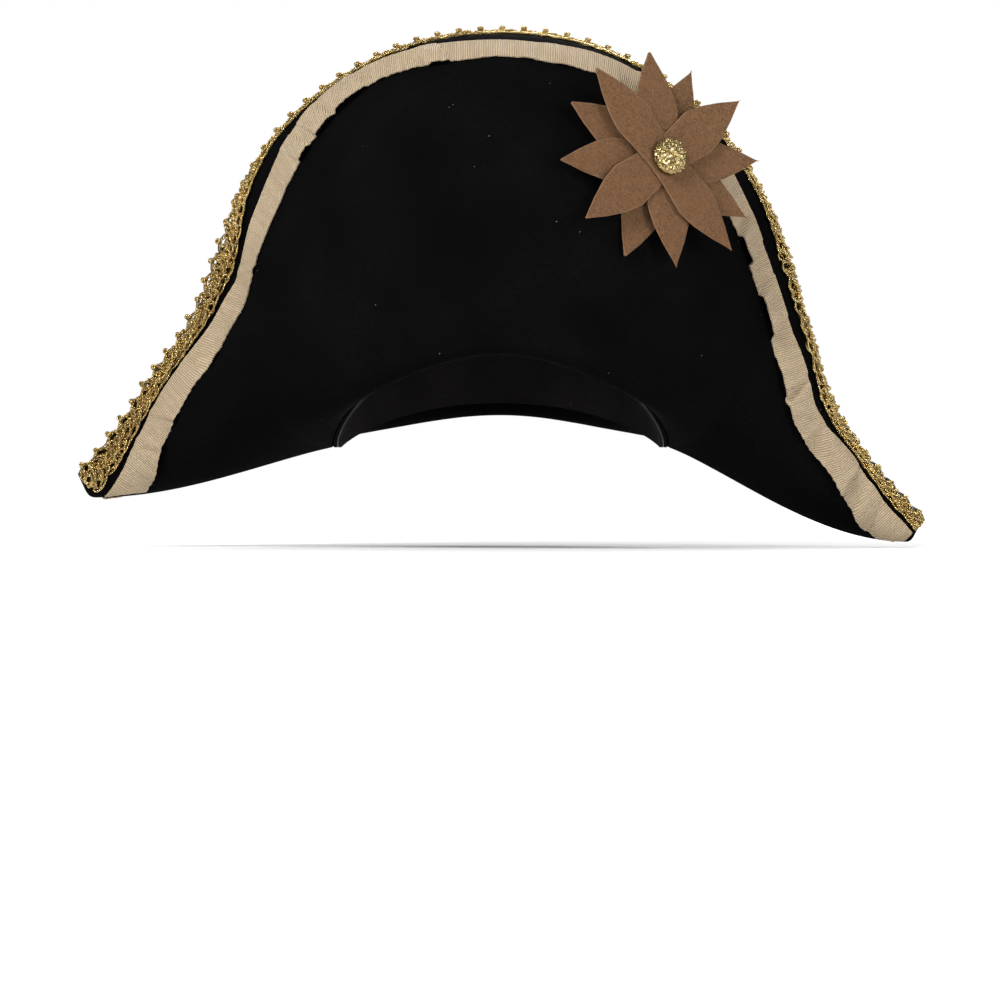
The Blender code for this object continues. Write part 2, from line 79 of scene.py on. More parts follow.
camera = placed("camera", bpy.data.cameras.new("camera"))
camera.location = 0, -SHOOTING_DISTANCE, SHOOTING_HEIGHT
camera.rotation_euler = math.radians(90), 0, 0
camera.data.lens = camera.data.sensor_width * SHOOTING_DISTANCE / FRAME_WIDTH
bpy.context.scene.camera = camera
print("lens", round(camera.data.lens, 1), "mm")

# %% Lights and the white room
def soft_box(name, place, size, power, target=(0, 0, 0.06)):
    lamp = bpy.data.lights.new(name, "AREA")
    lamp.shape, lamp.size, lamp.size_y, lamp.energy = "RECTANGLE", *size, power
    box = placed(name, lamp)
    box.location = place
    box.rotation_euler = (Vector(target) - Vector(place)).to_track_quat("-Z", "Y").to_euler()


soft_box("key_light", (-0.9, -1.3, 1.2), (0.55, 0.55), 38)
soft_box("fill_light", (1.3, -1.2, 0.5), (0.7, 0.7), 14)
soft_box("rim_light", (0.5, 1.2, 1.3), (1.0, 0.4), 20)


def make_room():
    """White behind the hat, but dimmer towards the floor in what the hat reflects."""
    room = bpy.data.worlds.new("white_room")
    room.use_nodes = True
    tree = room.node_tree
    way = tree.nodes.new("ShaderNodeTexCoord")
    apart = tree.nodes.new("ShaderNodeSeparateXYZ")
    fade = tree.nodes.new("ShaderNodeMapRange")
    fade.inputs["From Min"].default_value, fade.inputs["To Min"].default_value = -0.6, 0.16
    fade.inputs["To Max"].default_value = 0.62
    seen = tree.nodes.new("ShaderNodeLightPath")
    shade = tree.nodes.new("ShaderNodeMix")
    shade.inputs["B"].default_value = 1.0
    tree.links.new(way.outputs["Generated"], apart.inputs[0])
    tree.links.new(apart.outputs["Z"], fade.inputs["Value"])
    tree.links.new(fade.outputs[0], shade.inputs["A"])
    tree.links.new(seen.outputs["Is Camera Ray"], shade.inputs["Factor"])
    tree.links.new(shade.outputs["Result"], tree.nodes["Background"].inputs["Strength"])
    tree.nodes["Background"].inputs["Color"].default_value = (1, 1, 1, 1)
    bpy.context.scene.world = room


make_room()
bpy.context.scene.view_settings.view_transform = "Standard"

# %% [markdown]
# ## How the brim is shaped
# The brim is a flat, stiff oval that is turned up in front and behind. Where it rolls up round the head
# it makes a wide curve; towards the sides both halves meet along a keel and stand up as two wings. Each
# flap is described by three curves from wing tip to wing tip: its inner end at the crown, the fold where it
# turns up, and its edge. A section joins the three at each share of the way, s, from -1 over 0 to 1.

# %% Sizes of the brim and the crown
HEAD_HALF_WIDTH, HEAD_HALF_DEPTH = 81.0, 100.0
RIM_AT_EAR, RIM_RISE, RIM_POWER = 2.0, {"front": 48.0, "back": 26.0}, 1.4
CROWN_TOP, CROWN_SIDE_POWER, CROWN_RISE_POWER = 128.0, 0.909, 0.667
GAP, SWEATBAND, LINING, CROWN_CLOTH = 0.3, 1.0, 0.6, 1.5
WALL = SWEATBAND + LINING + CROWN_CLOTH + 2 * GAP
SEAM_ROOM = 0.8
OVAL_X, OVAL_Y = HEAD_HALF_WIDTH + WALL + SEAM_ROOM, HEAD_HALF_DEPTH + WALL + SEAM_ROOM
TIP_X, KEEL_END, PLAN_REACH = 212.0, 206.0, 215.0
FOLD_PLAN = 112.0, 6.0, 2.0  # depth in the middle, depth at the tips, power of the narrowing
EDGE_PLAN = 53.0, 5.2, 1.6
KEEL_DROP, KEEL_POWER = {-1: 25.5, 1: 48.0}, 1.15
EDGE = (
    (-214, -12), (-197, 7), (-176, 36), (-154, 67), (-141, 98), (-128, 129), (-107, 159), (-76, 183),
    (-40, 198), (0, 202.5), (40, 198), (76, 183), (105, 161), (127, 131), (141, 98), (153, 58),
    (166, 22), (188, -9), (214, -36),
)
BACK_FLAP_LOWER = 4.0
LEAN_AT = (0.0, 0.2, 0.3, 0.4, 0.48, 0.55, 0.7, 0.8, 0.93, 1.0)
LEAN_AT_RIBBON = {-1: (60, 48, 25, 8, 8, 10, 28, 20, 5, 0), 1: (60, 48, 30, 20, 8, 5, 25, 30, 5, 0)}
LEAN_AT_EDGE = {-1: (88, 88, 88, 86, 65, 12, 15, 12, 0, 0), 1: (88, 88, 80, 72, 83, 88, 88, 42, 20, 0)}
LEAN_POWER, LEAST_SLANT = 0.5, 0.4
STRIP, CURL = 14.0, 0.30  # the curled outer strip, and the share of the height that leads into it
STRIP_MOST = 0.3  # the strip's largest share of the flap's height
ROLL_TO, ROLL_OUT, ROLL_DROP = 0.5, 0.6, 0.67  # the share where the brim stops rolling up, and its roundness
HULL_WIDTH, HULL_DROP, UPRIGHT = 60.0, 0.55, 0.5
BOTTOM_STEPS, UPRIGHT_STEPS = 16, 32
FLAP_CLOTH, FOAM, FACING = 0.8, 2.4, 0.8
TIP_SHARE, THINS_FROM = 0.4, 0.7
CENTRE = {"front": -1, "back": 1}
UP = np.array((0.0, 0.0, 1.0))


# %% Curves that are read by their length
def ease(t):
    t = np.clip(t, 0.0, 1.0)
    return t * t * (3 - 2 * t)


def unit(vectors):
    return vectors / np.maximum(np.linalg.norm(vectors, axis=-1, keepdims=True), 1e-9)


def bezier(a, b, c, d, steps):
    t = np.linspace(0, 1, steps + 1)[:, None]
    return a * (1 - t) ** 3 + 3 * b * t * (1 - t) ** 2 + 3 * c * t**2 * (1 - t) + d * t**3


def run_of(points):
    """The length along a line of points, from its first."""
    return np.append(0.0, np.linalg.norm(np.diff(points, axis=0), axis=1).cumsum())


def read(at, stops, points):
    return np.stack([np.interp(at, stops, axis) for axis in points.T], axis=-1)


def through(points, steps=12):
    """A smooth curve through a few points."""
    p = np.array(points, float)
    p = np.vstack([2 * p[0] - p[1], p, 2 * p[-1] - p[-2]])
    spans = []
    for i in range(1, len(p) - 2):
        b = p[i] + (p[i + 1] - p[i - 1]) / 6
        c = p[i + 1] - (p[i + 2] - p[i]) / 6
        spans.append(bezier(p[i], b, c, p[i + 1], steps)[:-1])
    return np.vstack([*spans, p[-2:-1]])


def shared(points):
    """Points with the share of the way, -1 to 1 from end to end and 0 at the middle point."""
    run = run_of(points)
    split = run[len(points) // 2]
    return np.where(run < split, run / split - 1, (run - split) / (run[-1] - split)), points


# %% The three curves of each flap
def plan_depth(x, depth, at_tip, power):
    return at_tip + depth * np.maximum(np.cos(math.pi / 2 * x / PLAN_REACH), 0.0) ** power


def rim_height(angle, face):
    return RIM_AT_EAR + RIM_RISE[face] * np.abs(np.cos(angle)) ** RIM_POWER


def keel_height(x):
    t = (np.abs(x) - OVAL_X) / (KEEL_END - OVAL_X)
    drop = np.where(x > 0, KEEL_DROP[1], KEEL_DROP[-1])
    return RIM_AT_EAR - drop * np.sin(math.pi / 2 * t**KEEL_POWER)


def inner_path(face):
    angle = np.linspace(-math.pi / 2, math.pi / 2, 41)
    depth = np.maximum(OVAL_Y * np.cos(angle), GAP / 2)
    oval = np.stack([OVAL_X * np.sin(angle), depth, rim_height(angle, face)], axis=1)
    x = np.linspace(KEEL_END, OVAL_X, 20)[:-1]
    ends = [np.stack([q, np.full_like(q, GAP / 2), keel_height(q)], axis=1) for q in (-x, x)]
    return np.vstack([ends[0], oval, ends[1][::-1]]) * (1, CENTRE[face], 1)


def fold_path(face):
    x = np.linspace(-TIP_X, TIP_X, 81)
    return np.stack([x, CENTRE[face] * plan_depth(x, *FOLD_PLAN), 0 * x], axis=1)


def edge_path(face):
    x, z = through(EDGE).T
    lower = BACK_FLAP_LOWER if face == "back" else 0.0
    return np.stack([x, CENTRE[face] * plan_depth(x, *EDGE_PLAN), z - lower * ease(z / EDGE[9][1])], axis=1)


PATHS = {face: [shared(path(face)) for path in (inner_path, fold_path, edge_path)] for face in CENTRE}


# %% One section through a flap
def edge_way(s, face):
    """The direction of the flap's edge at s."""
    near, far = (read(np.clip(s + step, -1, 1), *PATHS[face][2]) for step in (-0.03, 0.03))
    return unit(far - near)


def edge_strip(s, face, along, width, steps=8):
    """The outermost strip of a flap as it curls back; it starts at zero."""
    side = 1 if s > 0 else -1
    first, last = (np.interp(abs(s), LEAN_AT, table[side]) for table in (LEAN_AT_RIBBON, LEAN_AT_EDGE))
    leans = np.radians(first + (last - first) * np.linspace(0, 1, steps) ** LEAN_POWER)[:, None]
    strides = along * np.cos(leans) + np.array((0.0, -CENTRE[face], 0.0)) * np.sin(leans)
    square = np.linalg.norm(np.cross(strides, edge_way(s, face)), axis=1)[:, None]
    strides *= width / steps / np.maximum(square, LEAST_SLANT)
    return np.vstack([np.zeros(3), strides.cumsum(axis=0)])


def section(s, face):
    """The flap's outer surface at s, from its inner end to its edge; the fold comes after BOTTOM_STEPS."""
    inner, fold, edge = (read(s, *path) for path in PATHS[face])
    outward = (fold - inner) * (1, 1, 0)
    width = np.linalg.norm(outward)
    outward = outward / width
    hull = ease(abs(s) / ROLL_TO)
    rise = hull * width / (1 + width / HULL_WIDTH)
    fold[2] = inner[2] + rise
    along = (edge - fold) * (1, 0, 1)
    height = np.linalg.norm(along)
    along = along / height
    turn = math.pi / 2 * (1 - hull)
    leave = outward * math.cos(turn) - UP * math.sin(turn)
    drop = (1 - hull) * ROLL_DROP * width + hull * HULL_DROP * rise
    bottom = bezier(inner, inner + leave * ROLL_OUT * width, fold - along * drop, fold, BOTTOM_STEPS)
    strip = edge_strip(s, face, along, min(STRIP, STRIP_MOST * height))
    start = edge - strip[-1]
    curl = unit(strip[1] - strip[0]) * CURL * height
    upright = bezier(fold, fold + along * UPRIGHT * height, start - curl, start, UPRIGHT_STEPS)
    return np.vstack([bottom, upright[1:], start + strip[1:]])


# %% [markdown]
# ## The flap as a sheet that other pieces are laid on
# Everything else on the brim follows its surface, so each flap becomes one table of points. `at` reads the
# table with u along the hat and w from the seam up to the edge. Trims are cut as straight tapes and sewn
# along the edge, so a second table is read by the length along the edge and the distance in from it,
# both measured square to each other, the way a sewer measures them.

# %% Tables of points
class Sheet:
    """A table of points with their normals, read between its columns and rows."""

    def __init__(self, points, outward):
        self.points = points
        normals = np.cross(np.gradient(points, axis=0), np.gradient(points, axis=1))
        self.normals = unit(normals * np.sign((normals * outward).sum(axis=-1).mean()))

    def at(self, u, w, height=0.0):
        columns, rows = (size - 1 for size in self.points.shape[:2])
        x, y = np.clip(u, 0, 1) * columns, np.clip(w, 0, 1) * rows
        i, j = np.minimum(x.astype(int), columns - 1), np.minimum(y.astype(int), rows - 1)
        a, b = (x - i)[:, None], (y - j)[:, None]
        found = []
        for table in (self.points, self.normals):
            near = table[i, j] * (1 - b) + table[i, j + 1] * b
            far = table[i + 1, j] * (1 - b) + table[i + 1, j + 1] * b
            found.append(near * (1 - a) + far * a)
        return found[0] + unit(found[1]) * np.reshape(height, (-1, 1))


STATIONS, SEAM_ROWS, WALL_ROWS = 480, 24, 56
EVENINGS = 12  # how often a table is evened out
SHARES = np.linspace(-1, 1, STATIONS + 1)


def smoothed(points, times):
    """Evens out a table from column to column, with both ends kept."""
    for _ in range(times):
        points[1:-1] = (points[:-2] + 2 * points[1:-1] + points[2:]) / 4
    return points


def flap_sheet(face):
    rows = []
    for line in SECTIONS[face]:
        run = run_of(line)
        fold = run[BOTTOM_STEPS]
        above = np.linspace(fold, run[-1], WALL_ROWS + 1)[1:]
        stops = np.append(np.linspace(0, fold, SEAM_ROWS + 1), above)
        rows.append(read(stops, run, line))
    return Sheet(smoothed(np.array(rows), EVENINGS), np.array((0.0, CENTRE[face], 0.0)))


SECTIONS = {face: [section(s, face) for s in SHARES] for face in CENTRE}
FLAPS = {face: flap_sheet(face) for face in CENTRE}
print("flap height in the middle", [round(run_of(SECTIONS[f][STATIONS // 2])[-1]) for f in CENTRE], "mm")


# %% The strip along the edge
class EdgeStrip:
    """The flap's outer strip, read by the length along the edge, the distance in from it and a height."""

    OUT, IN, ROWS = -8.0, 34.0, 84
    BEYOND, ENDS_EVENED = 12.0, 10  # how far it runs on past the edge; how often its ends are evened out

    def __init__(self, face):
        lines = smoothed(np.array(SECTIONS[face]), EVENINGS)[:, ::-1]
        edge = lines[:, 0]
        way = unit(np.gradient(edge, axis=0))
        self.insets = np.linspace(self.OUT, self.IN, self.ROWS + 1)
        along = run_of(edge)
        self.length = along[-1]
        points, true_along, reach = [], [], []
        for i, line in enumerate(lines):
            line = np.vstack([line[0] + unit(line[0] - line[2]) * self.BEYOND, line])
            steps = np.diff(line, axis=0)
            forward = steps @ way[i]
            square = np.linalg.norm(steps - forward[:, None] * way[i], axis=1)
            inset, drift = (np.append(0.0, part.cumsum()) for part in (square, forward))
            inset, drift = inset - inset[1], drift - drift[1]
            points.append(read(self.insets, inset, line))
            true_along.append(along[i] + np.interp(self.insets, inset, drift))
            reach.append(inset[-1])
        self.fill(np.array(points), np.array(true_along), np.array(reach), face)

    def fill(self, points, true_along, reach, face):
        self.ends = []
        grid = np.linspace(0, self.length, 2 * STATIONS + 1)
        table = np.empty((len(grid), len(self.insets), 3))
        for k, inset in enumerate(self.insets):
            inside = np.flatnonzero(reach > inset + 1.0)
            row = true_along[inside, k]
            order = np.argsort(row)
            self.ends.append((row.min(), row.max()))
            table[:, k] = read(grid, row[order], points[inside[order], k])
        self.ends = smoothed(np.array(self.ends), self.ENDS_EVENED)
        self.sheet = Sheet(table, np.array((0.0, CENTRE[face], 0.0)))

    def at(self, along, inset, height):
        first, last = self.limits(inset)
        along = np.clip(along, first, last)
        share = (inset - self.OUT) / (self.IN - self.OUT)
        return self.sheet.at(along / self.length, share, height)

    def limits(self, inset):
        """Where a tape at this inset first and last stands clear of the keel."""
        return np.interp(inset, self.insets, self.ends[:, 0]), np.interp(inset, self.insets, self.ends[:, 1])


STRIPS = {face: EdgeStrip(face) for face in CENTRE}
for face, strip in STRIPS.items():
    print(face, "edge is", round(strip.length), "mm long")

# %% [markdown]
# ## Laying a flat piece onto a surface
# A tailor cuts a piece flat and then lays it over a form. `laid` does the same: Blender's grid operator
# makes the flat piece with its UVs, the extrude operator gives it a second side, and each point is then
# moved to its place, which a small function gives from u, w and the side. A cord is a grid as well,
# rolled up along a line. The UVs stay those of the flat piece, in metres, so a rib or a twist follows it.

# %% The helper that lays a grid
def tidy_mesh(mesh, merge):
    """Closes seams and ends, and turns every face outwards."""
    bm = bmesh.new()
    bm.from_mesh(mesh)
    if merge:
        bmesh.ops.remove_doubles(bm, verts=bm.verts, dist=0.00002)
        bmesh.ops.holes_fill(bm, edges=[edge for edge in bm.edges if edge.is_boundary], sides=0)
    bmesh.ops.recalc_face_normals(bm, faces=bm.faces)
    bm.to_mesh(mesh)
    bm.free()


def mesh_from(bm, name):
    mesh = bpy.data.meshes.new(name)
    bm.to_mesh(mesh)
    bm.free()
    return mesh


def laid(name, columns, rows, place, finish, flat=None, solid=True, merge=False, mark=None):
    bm = bmesh.new()
    bm.loops.layers.uv.new("flat")
    bmesh.ops.create_grid(bm, x_segments=columns, y_segments=rows, size=0.5, calc_uvs=True)
    if solid:
        made = bmesh.ops.extrude_face_region(bm, geom=bm.faces[:], use_keep_orig=True)["geom"]
        second = [item for item in made if isinstance(item, bmesh.types.BMVert)]
        bmesh.ops.translate(bm, vec=(0, 0, 1), verts=second)
    mesh = mesh_from(bm, name)
    places = np.empty(len(mesh.vertices) * 3, np.float32)
    mesh.vertices.foreach_get("co", places)
    u, w, side = places.reshape(-1, 3).T.astype(float)
    points = place(u + 0.5, w + 0.5, side)
    mesh.vertices.foreach_set("co", (points * MM).ravel())
    if mark:
        marking = mesh.attributes.new("mark", "FLOAT", "POINT")
        marking.data.foreach_set("value", mark(u + 0.5, w + 0.5, side))
    if flat:
        uvs = np.empty(len(mesh.loops) * 2, np.float32)
        mesh.uv_layers[0].data.foreach_get("uv", uvs)
        uvs = np.stack(flat(*uvs.reshape(-1, 2).T.astype(float)), axis=1) * MM
        mesh.uv_layers[0].data.foreach_set("uv", uvs.astype(np.float32).ravel())
    tidy_mesh(mesh, merge)
    mesh.shade_smooth()
    mesh.set_sharp_from_angle(angle=math.radians(60))
    mesh.materials.append(finish)
    print(name, len(mesh.polygons), "faces")
    return placed(name, mesh)


def stands_for(piece, node):
    """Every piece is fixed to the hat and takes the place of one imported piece."""
    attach(piece, "root")
    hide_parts(node)
    return piece


# %% Cords
def corded(name, line, normal, radius, sides, finish):
    """A round cord along a line of points; normal is any direction that the line doesn't run along."""
    run = run_of(line)
    way = unit(np.gradient(line, axis=0))
    lift = unit(normal - (normal * way).sum(axis=-1, keepdims=True) * way)
    across = np.cross(way, lift)
    thick = np.broadcast_to(np.asarray(radius, float), (len(line),))

    def place(u, w, _):
        k = np.rint(u * (len(line) - 1)).astype(int)
        turn = 2 * math.pi * w[:, None]
        return line[k] + thick[k, None] * (lift[k] * np.cos(turn) + across[k] * np.sin(turn))

    def flat(u, w):
        return np.interp(u * (len(line) - 1), range(len(line)), run), w * 2 * math.pi * float(thick.mean())

    return laid(name, len(line) - 1, sides, place, finish, flat, solid=False, merge=True)


# %% [markdown]
# ## Finishes
# Cloth, felt and thread are all fibres, so their finishes share a few effects, each built once as a node
# group: fibres of two sizes, the slow change of colour across a dyed cloth, specks of lint, ribs, and the
# twist of a cord. A group only puts out masks and heights; each material sets its own shader.

# %% Small helpers for node trees
def wire(tree, kind, links=None, **values):
    """Adds a node, sets its properties, and links its inputs to other nodes' outputs or sets their values."""
    node = tree.nodes.new(kind)
    node.location = len(tree.nodes) * 190, 0
    for key, value in values.items():
        setattr(node, key, value)
    for socket, value in (links or {}).items():
        if isinstance(value, bpy.types.NodeSocket):
            tree.links.new(value, node.inputs[socket])
        else:
            node.inputs[socket].default_value = value
    return node


def reckon(tree, operation, *values):
    return wire(tree, "ShaderNodeMath", dict(enumerate(values)), operation=operation).outputs[0]


def spread(tree, value, low, high):
    return wire(tree, "ShaderNodeMapRange", {"Value": value, "From Min": low, "From Max": high}).outputs[0]


def cloudy(tree, vector, scale, detail, distortion=0.0):
    links = {"Vector": vector, "Scale": scale, "Detail": detail, "Distortion": distortion}
    return wire(tree, "ShaderNodeTexNoise", links).outputs["Fac"]


def new_group(name, outputs, **sizes):
    """A group that is given a vector and some sizes, each with its usual value."""
    tree = bpy.data.node_groups.new(name, "ShaderNodeTree")
    tree.interface.new_socket(name="Vector", in_out="INPUT", socket_type="NodeSocketVector")
    for socket, value in sizes.items():
        tree.interface.new_socket(name=socket, in_out="INPUT", socket_type="NodeSocketFloat").default_value = value
    for socket in outputs:
        tree.interface.new_socket(name=socket, in_out="OUTPUT", socket_type="NodeSocketFloat")
    return tree, wire(tree, "NodeGroupInput").outputs, wire(tree, "NodeGroupOutput").inputs


# %% The fibres and the slow change of colour
def make_fibres():
    tree, given, put = new_group("fibres", ["Height", "Mask"], Size=0.001)
    scale = reckon(tree, "DIVIDE", 1.0, given["Size"])
    bend = cloudy(tree, given["Vector"], scale, 3.0, 1.6)
    hair = cloudy(tree, given["Vector"], reckon(tree, "MULTIPLY", scale, 3.1), 4.0, 2.5)
    half = reckon(tree, "MULTIPLY", reckon(tree, "ADD", bend, hair), 0.5)
    tree.links.new(half, put["Height"])
    tree.links.new(spread(tree, half, 0.43, 0.57), put["Mask"])
    return tree


def make_dyeing():
    tree, given, put = new_group("dyeing", ["Mask"], Size=0.03)
    cloud = cloudy(tree, given["Vector"], reckon(tree, "DIVIDE", 1.0, given["Size"]), 2.0)
    tree.links.new(spread(tree, cloud, 0.3, 0.7), put["Mask"])
    return tree


# %% Lint, ribs and the twist of a cord
def make_lint():
    """A few pale specks: cells of which only some hold a speck, smaller than the cell."""
    tree, given, put = new_group("lint", ["Mask"], Spacing=0.02)
    scale = reckon(tree, "DIVIDE", 1.0, given["Spacing"])
    cell = wire(tree, "ShaderNodeTexVoronoi", {"Vector": given["Vector"], "Scale": scale})
    speck = reckon(tree, "LESS_THAN", cell.outputs["Distance"], 0.024)
    some = reckon(tree, "GREATER_THAN", cell.outputs["Color"], 0.55)
    tree.links.new(reckon(tree, "MULTIPLY", speck, some), put["Mask"])
    return tree


def counted(tree, put, count, own):
    """From a count that runs on: a rounded height for each whole number, and a value of its own."""
    wave = reckon(tree, "SINE", reckon(tree, "MULTIPLY", count, 2 * math.pi))
    each = wire(tree, "ShaderNodeTexWhiteNoise", {"W": reckon(tree, "FLOOR", count)}, noise_dimensions="1D")
    tree.links.new(spread(tree, wave, -1.0, 1.0), put["Height"])
    tree.links.new(each.outputs["Value"], put[own])
    return tree


def make_ribs():
    """Rounded ribs across a tape whose length is X of the vector, a little uneven as woven ones are."""
    tree, given, put = new_group("ribs", ["Height", "Rib"], Pitch=0.001)
    apart = wire(tree, "ShaderNodeSeparateXYZ", {0: given["Vector"]}).outputs
    sway = cloudy(tree, given["Vector"], 160.0, 1.0)
    count = reckon(tree, "MULTIPLY_ADD", sway, 0.9, reckon(tree, "DIVIDE", apart["X"], given["Pitch"]))
    return counted(tree, put, count, "Rib")


def make_twist():
    """The slanting strands of a twisted cord, from its flat length and girth."""
    tree, given, put = new_group("twist", ["Height", "Strand"], Lay=0.002, Girth=0.004)
    apart = wire(tree, "ShaderNodeSeparateXYZ", {0: given["Vector"]}).outputs
    along = reckon(tree, "DIVIDE", apart["X"], given["Lay"])
    count = reckon(tree, "MULTIPLY_ADD", reckon(tree, "DIVIDE", apart["Y"], given["Girth"]), 2.0, along)
    return counted(tree, put, count, "Strand")


FIBRES, DYEING, LINT, RIBS, TWIST = make_fibres(), make_dyeing(), make_lint(), make_ribs(), make_twist()


# %% A material and what feeds it
def new_finish(name, roughness, metallic=0.0, specular=0.3, sheen=0.0, sheen_roughness=0.5):
    made = bpy.data.materials.new(name)
    made.use_nodes = True
    tree = made.node_tree
    shader = tree.nodes["Principled BSDF"]
    values = {"Roughness": roughness, "Metallic": metallic, "Specular IOR Level": specular,
              "Sheen Weight": sheen, "Sheen Roughness": sheen_roughness}
    for socket, value in values.items():
        shader.inputs[socket].default_value = value
    return made, tree, shader


def effect(tree, group, vector, **sizes):
    return wire(tree, "ShaderNodeGroup", {"Vector": vector, **sizes}, node_tree=group).outputs


def blend_color(tree, factor, *colors):
    first, second = ((*color, 1.0) if isinstance(color, tuple) else color for color in colors)
    return wire(tree, "ShaderNodeMix", {0: factor, 6: first, 7: second}, data_type="RGBA").outputs[2]


def paint(tree, shader, color):
    tree.links.new(color, shader.inputs["Base Color"])


def bumped(tree, shader, height, distance, strength=1.0, under=None):
    node = wire(tree, "ShaderNodeBump", {"Height": height, "Distance": distance, "Strength": strength})
    if under:
        tree.links.new(under, node.inputs["Normal"])
    tree.links.new(node.outputs["Normal"], shader.inputs["Normal"])
    return node.outputs["Normal"]


def where(tree, kind="Object"):
    return wire(tree, "ShaderNodeTexCoord").outputs[kind]


# %% Cloth and felt
def make_cloth(name, dark, light, lint_color, fibre, rough=0.9, sheen=0.0, lint_spacing=0.009, depth=0.00012):
    made, tree, shader = new_finish(name, rough, specular=0.02, sheen=sheen)
    vector = where(tree)
    fibres = effect(tree, FIBRES, vector, Size=fibre)
    dyeing = effect(tree, DYEING, vector, Size=0.045)
    lint = effect(tree, LINT, vector, Spacing=lint_spacing)
    both = reckon(tree, "MULTIPLY", fibres["Mask"], dyeing["Mask"])
    color = blend_color(tree, both, dark, light)
    color = blend_color(tree, lint["Mask"], color, lint_color)
    paint(tree, shader, color)
    bumped(tree, shader, fibres["Height"], depth, 0.6)
    return made


def make_felt():
    """Pressed felt: matted fibres of two browns, paler along the cut edge."""
    made, tree, shader = new_finish("rosette_felt", 0.95, specular=0.1, sheen=0.05)
    vector = where(tree)
    coarse = effect(tree, FIBRES, vector, Size=0.0017)
    fine = effect(tree, FIBRES, vector, Size=0.0007)
    dyeing = effect(tree, DYEING, vector, Size=0.02)
    color = blend_color(tree, coarse["Mask"], (0.075, 0.035, 0.015), (0.185, 0.092, 0.042))
    light = blend_color(tree, fine["Mask"], color, (0.34, 0.18, 0.082))
    color = blend_color(tree, 0.45, color, light)
    warm = blend_color(tree, dyeing["Mask"], color, (0.16, 0.080, 0.034))
    color = blend_color(tree, 0.3, color, warm)
    # Paler along the cut edge, by the mark that each leaf carries.
    rim = wire(tree, "ShaderNodeAttribute", attribute_name="mark")
    color = blend_color(tree, rim.outputs["Fac"], color, (0.29, 0.165, 0.09))
    paint(tree, shader, color)
    under = bumped(tree, shader, coarse["Height"], 0.0012)
    bumped(tree, shader, fine["Height"], 0.0006, 1.0, under)
    return made


BLACK = make_cloth("black_cloth", (0.0012, 0.0012, 0.0014), (0.0034, 0.0034, 0.0037), (0.17, 0.17, 0.17), 0.0011)
FOAM_BLACK = make_cloth("brim_foam", (0.012, 0.012, 0.013), (0.03, 0.03, 0.032), (0.03, 0.03, 0.03), 0.0016)
BAND_TWILL = make_cloth("sweatband_cloth", (0.010, 0.009, 0.009), (0.024, 0.022, 0.021), (0.2, 0.2, 0.2), 0.0008)
FELT = make_felt()


# %% Ribbon, lining and thread
def make_ribbon():
    made, tree, shader = new_finish("beige_ribbon", 0.62, specular=0.25, sheen=0.05)
    vector = where(tree, "UV")
    ribs = effect(tree, RIBS, vector, Pitch=0.00105)
    dyeing = effect(tree, DYEING, vector, Size=0.012)
    # Painted shade: the grooves between the ribs are painted dark brown and the ribs' tops pale; the ribs' own tone
    # also differs at random from rib to rib.
    groove_shade = blend_color(tree, ribs["Height"], (0.14, 0.098, 0.056), (0.52, 0.410, 0.275))
    pale = blend_color(tree, ribs["Rib"], (0.29, 0.212, 0.130), (0.53, 0.42, 0.28))
    color = blend_color(tree, 0.3, groove_shade, pale)
    warm = blend_color(tree, dyeing["Mask"], (0.34, 0.255, 0.155), (0.43, 0.335, 0.215))
    color = blend_color(tree, 0.35, color, warm)
    paint(tree, shader, color)
    bumped(tree, shader, ribs["Height"], 0.0005)
    return made


def make_satin():
    made, tree, shader = new_finish("lining_satin", 0.42, specular=0.22)
    vector = where(tree)
    fine = effect(tree, FIBRES, vector, Size=0.004)
    color = blend_color(tree, fine["Mask"], (0.012, 0.012, 0.014), (0.022, 0.022, 0.025))
    paint(tree, shader, color)
    bumped(tree, shader, fine["Height"], 0.0004, 0.4)
    return made


def make_thread(name, dark, light):
    made, tree, shader = new_finish(name, 0.7, specular=0.3)
    vector = where(tree, "UV")
    twist = effect(tree, TWIST, vector, Lay=0.0008, Girth=0.0016)
    # Painted shade: the grooves between the twisted strands are painted dark and the strands' tops pale.
    color = blend_color(tree, twist["Height"], dark, light)
    paint(tree, shader, color)
    bumped(tree, shader, twist["Height"], 0.0001)
    return made


# %% Metal thread and the button's metal
def make_gilt(name, dark, middle, light, lay, girth, roughness=0.32):
    """Gilt cord with painted shade and painted glints: brown in the hollows between the strands, some strands
    painted paler as if they caught the light, and random patches of the same brown.
    """
    made, tree, shader = new_finish(name, roughness, metallic=1.0)
    flat, solid = where(tree, "UV"), where(tree)
    twist = effect(tree, TWIST, flat, Lay=lay, Girth=girth)
    fibres = effect(tree, FIBRES, solid, Size=0.0009)
    # Painted shade in the hollows between the strands, then painted glints: a paler colour on some strands.
    color = blend_color(tree, twist["Height"], dark, middle)
    painted_glint = blend_color(tree, twist["Strand"], middle, light)
    color = blend_color(tree, 0.45, color, painted_glint)
    color = blend_color(tree, fibres["Mask"], dark, color)
    paint(tree, shader, color)
    under = bumped(tree, shader, twist["Height"], 0.0003)
    bumped(tree, shader, fibres["Height"], 0.0007, 1.0, under)
    return made


def make_button_metal():
    made, tree, shader = new_finish("button_metal", 0.2, metallic=1.0)
    vector = where(tree)
    cell = wire(tree, "ShaderNodeTexVoronoi", {"Vector": vector, "Scale": 900.0})
    fibres = effect(tree, FIBRES, vector, Size=0.0012)
    # Painted glints: each small cell is painted pale gold in its middle and dark brown towards its border; random
    # patches of the fibres take a darker brown.
    color = blend_color(tree, cell.outputs["Distance"], (0.62, 0.50, 0.26), (0.24, 0.17, 0.06))
    color = blend_color(tree, fibres["Mask"], (0.26, 0.185, 0.07), color)
    paint(tree, shader, color)
    bumped(tree, shader, cell.outputs["Distance"], 0.0003, 0.5)
    return made


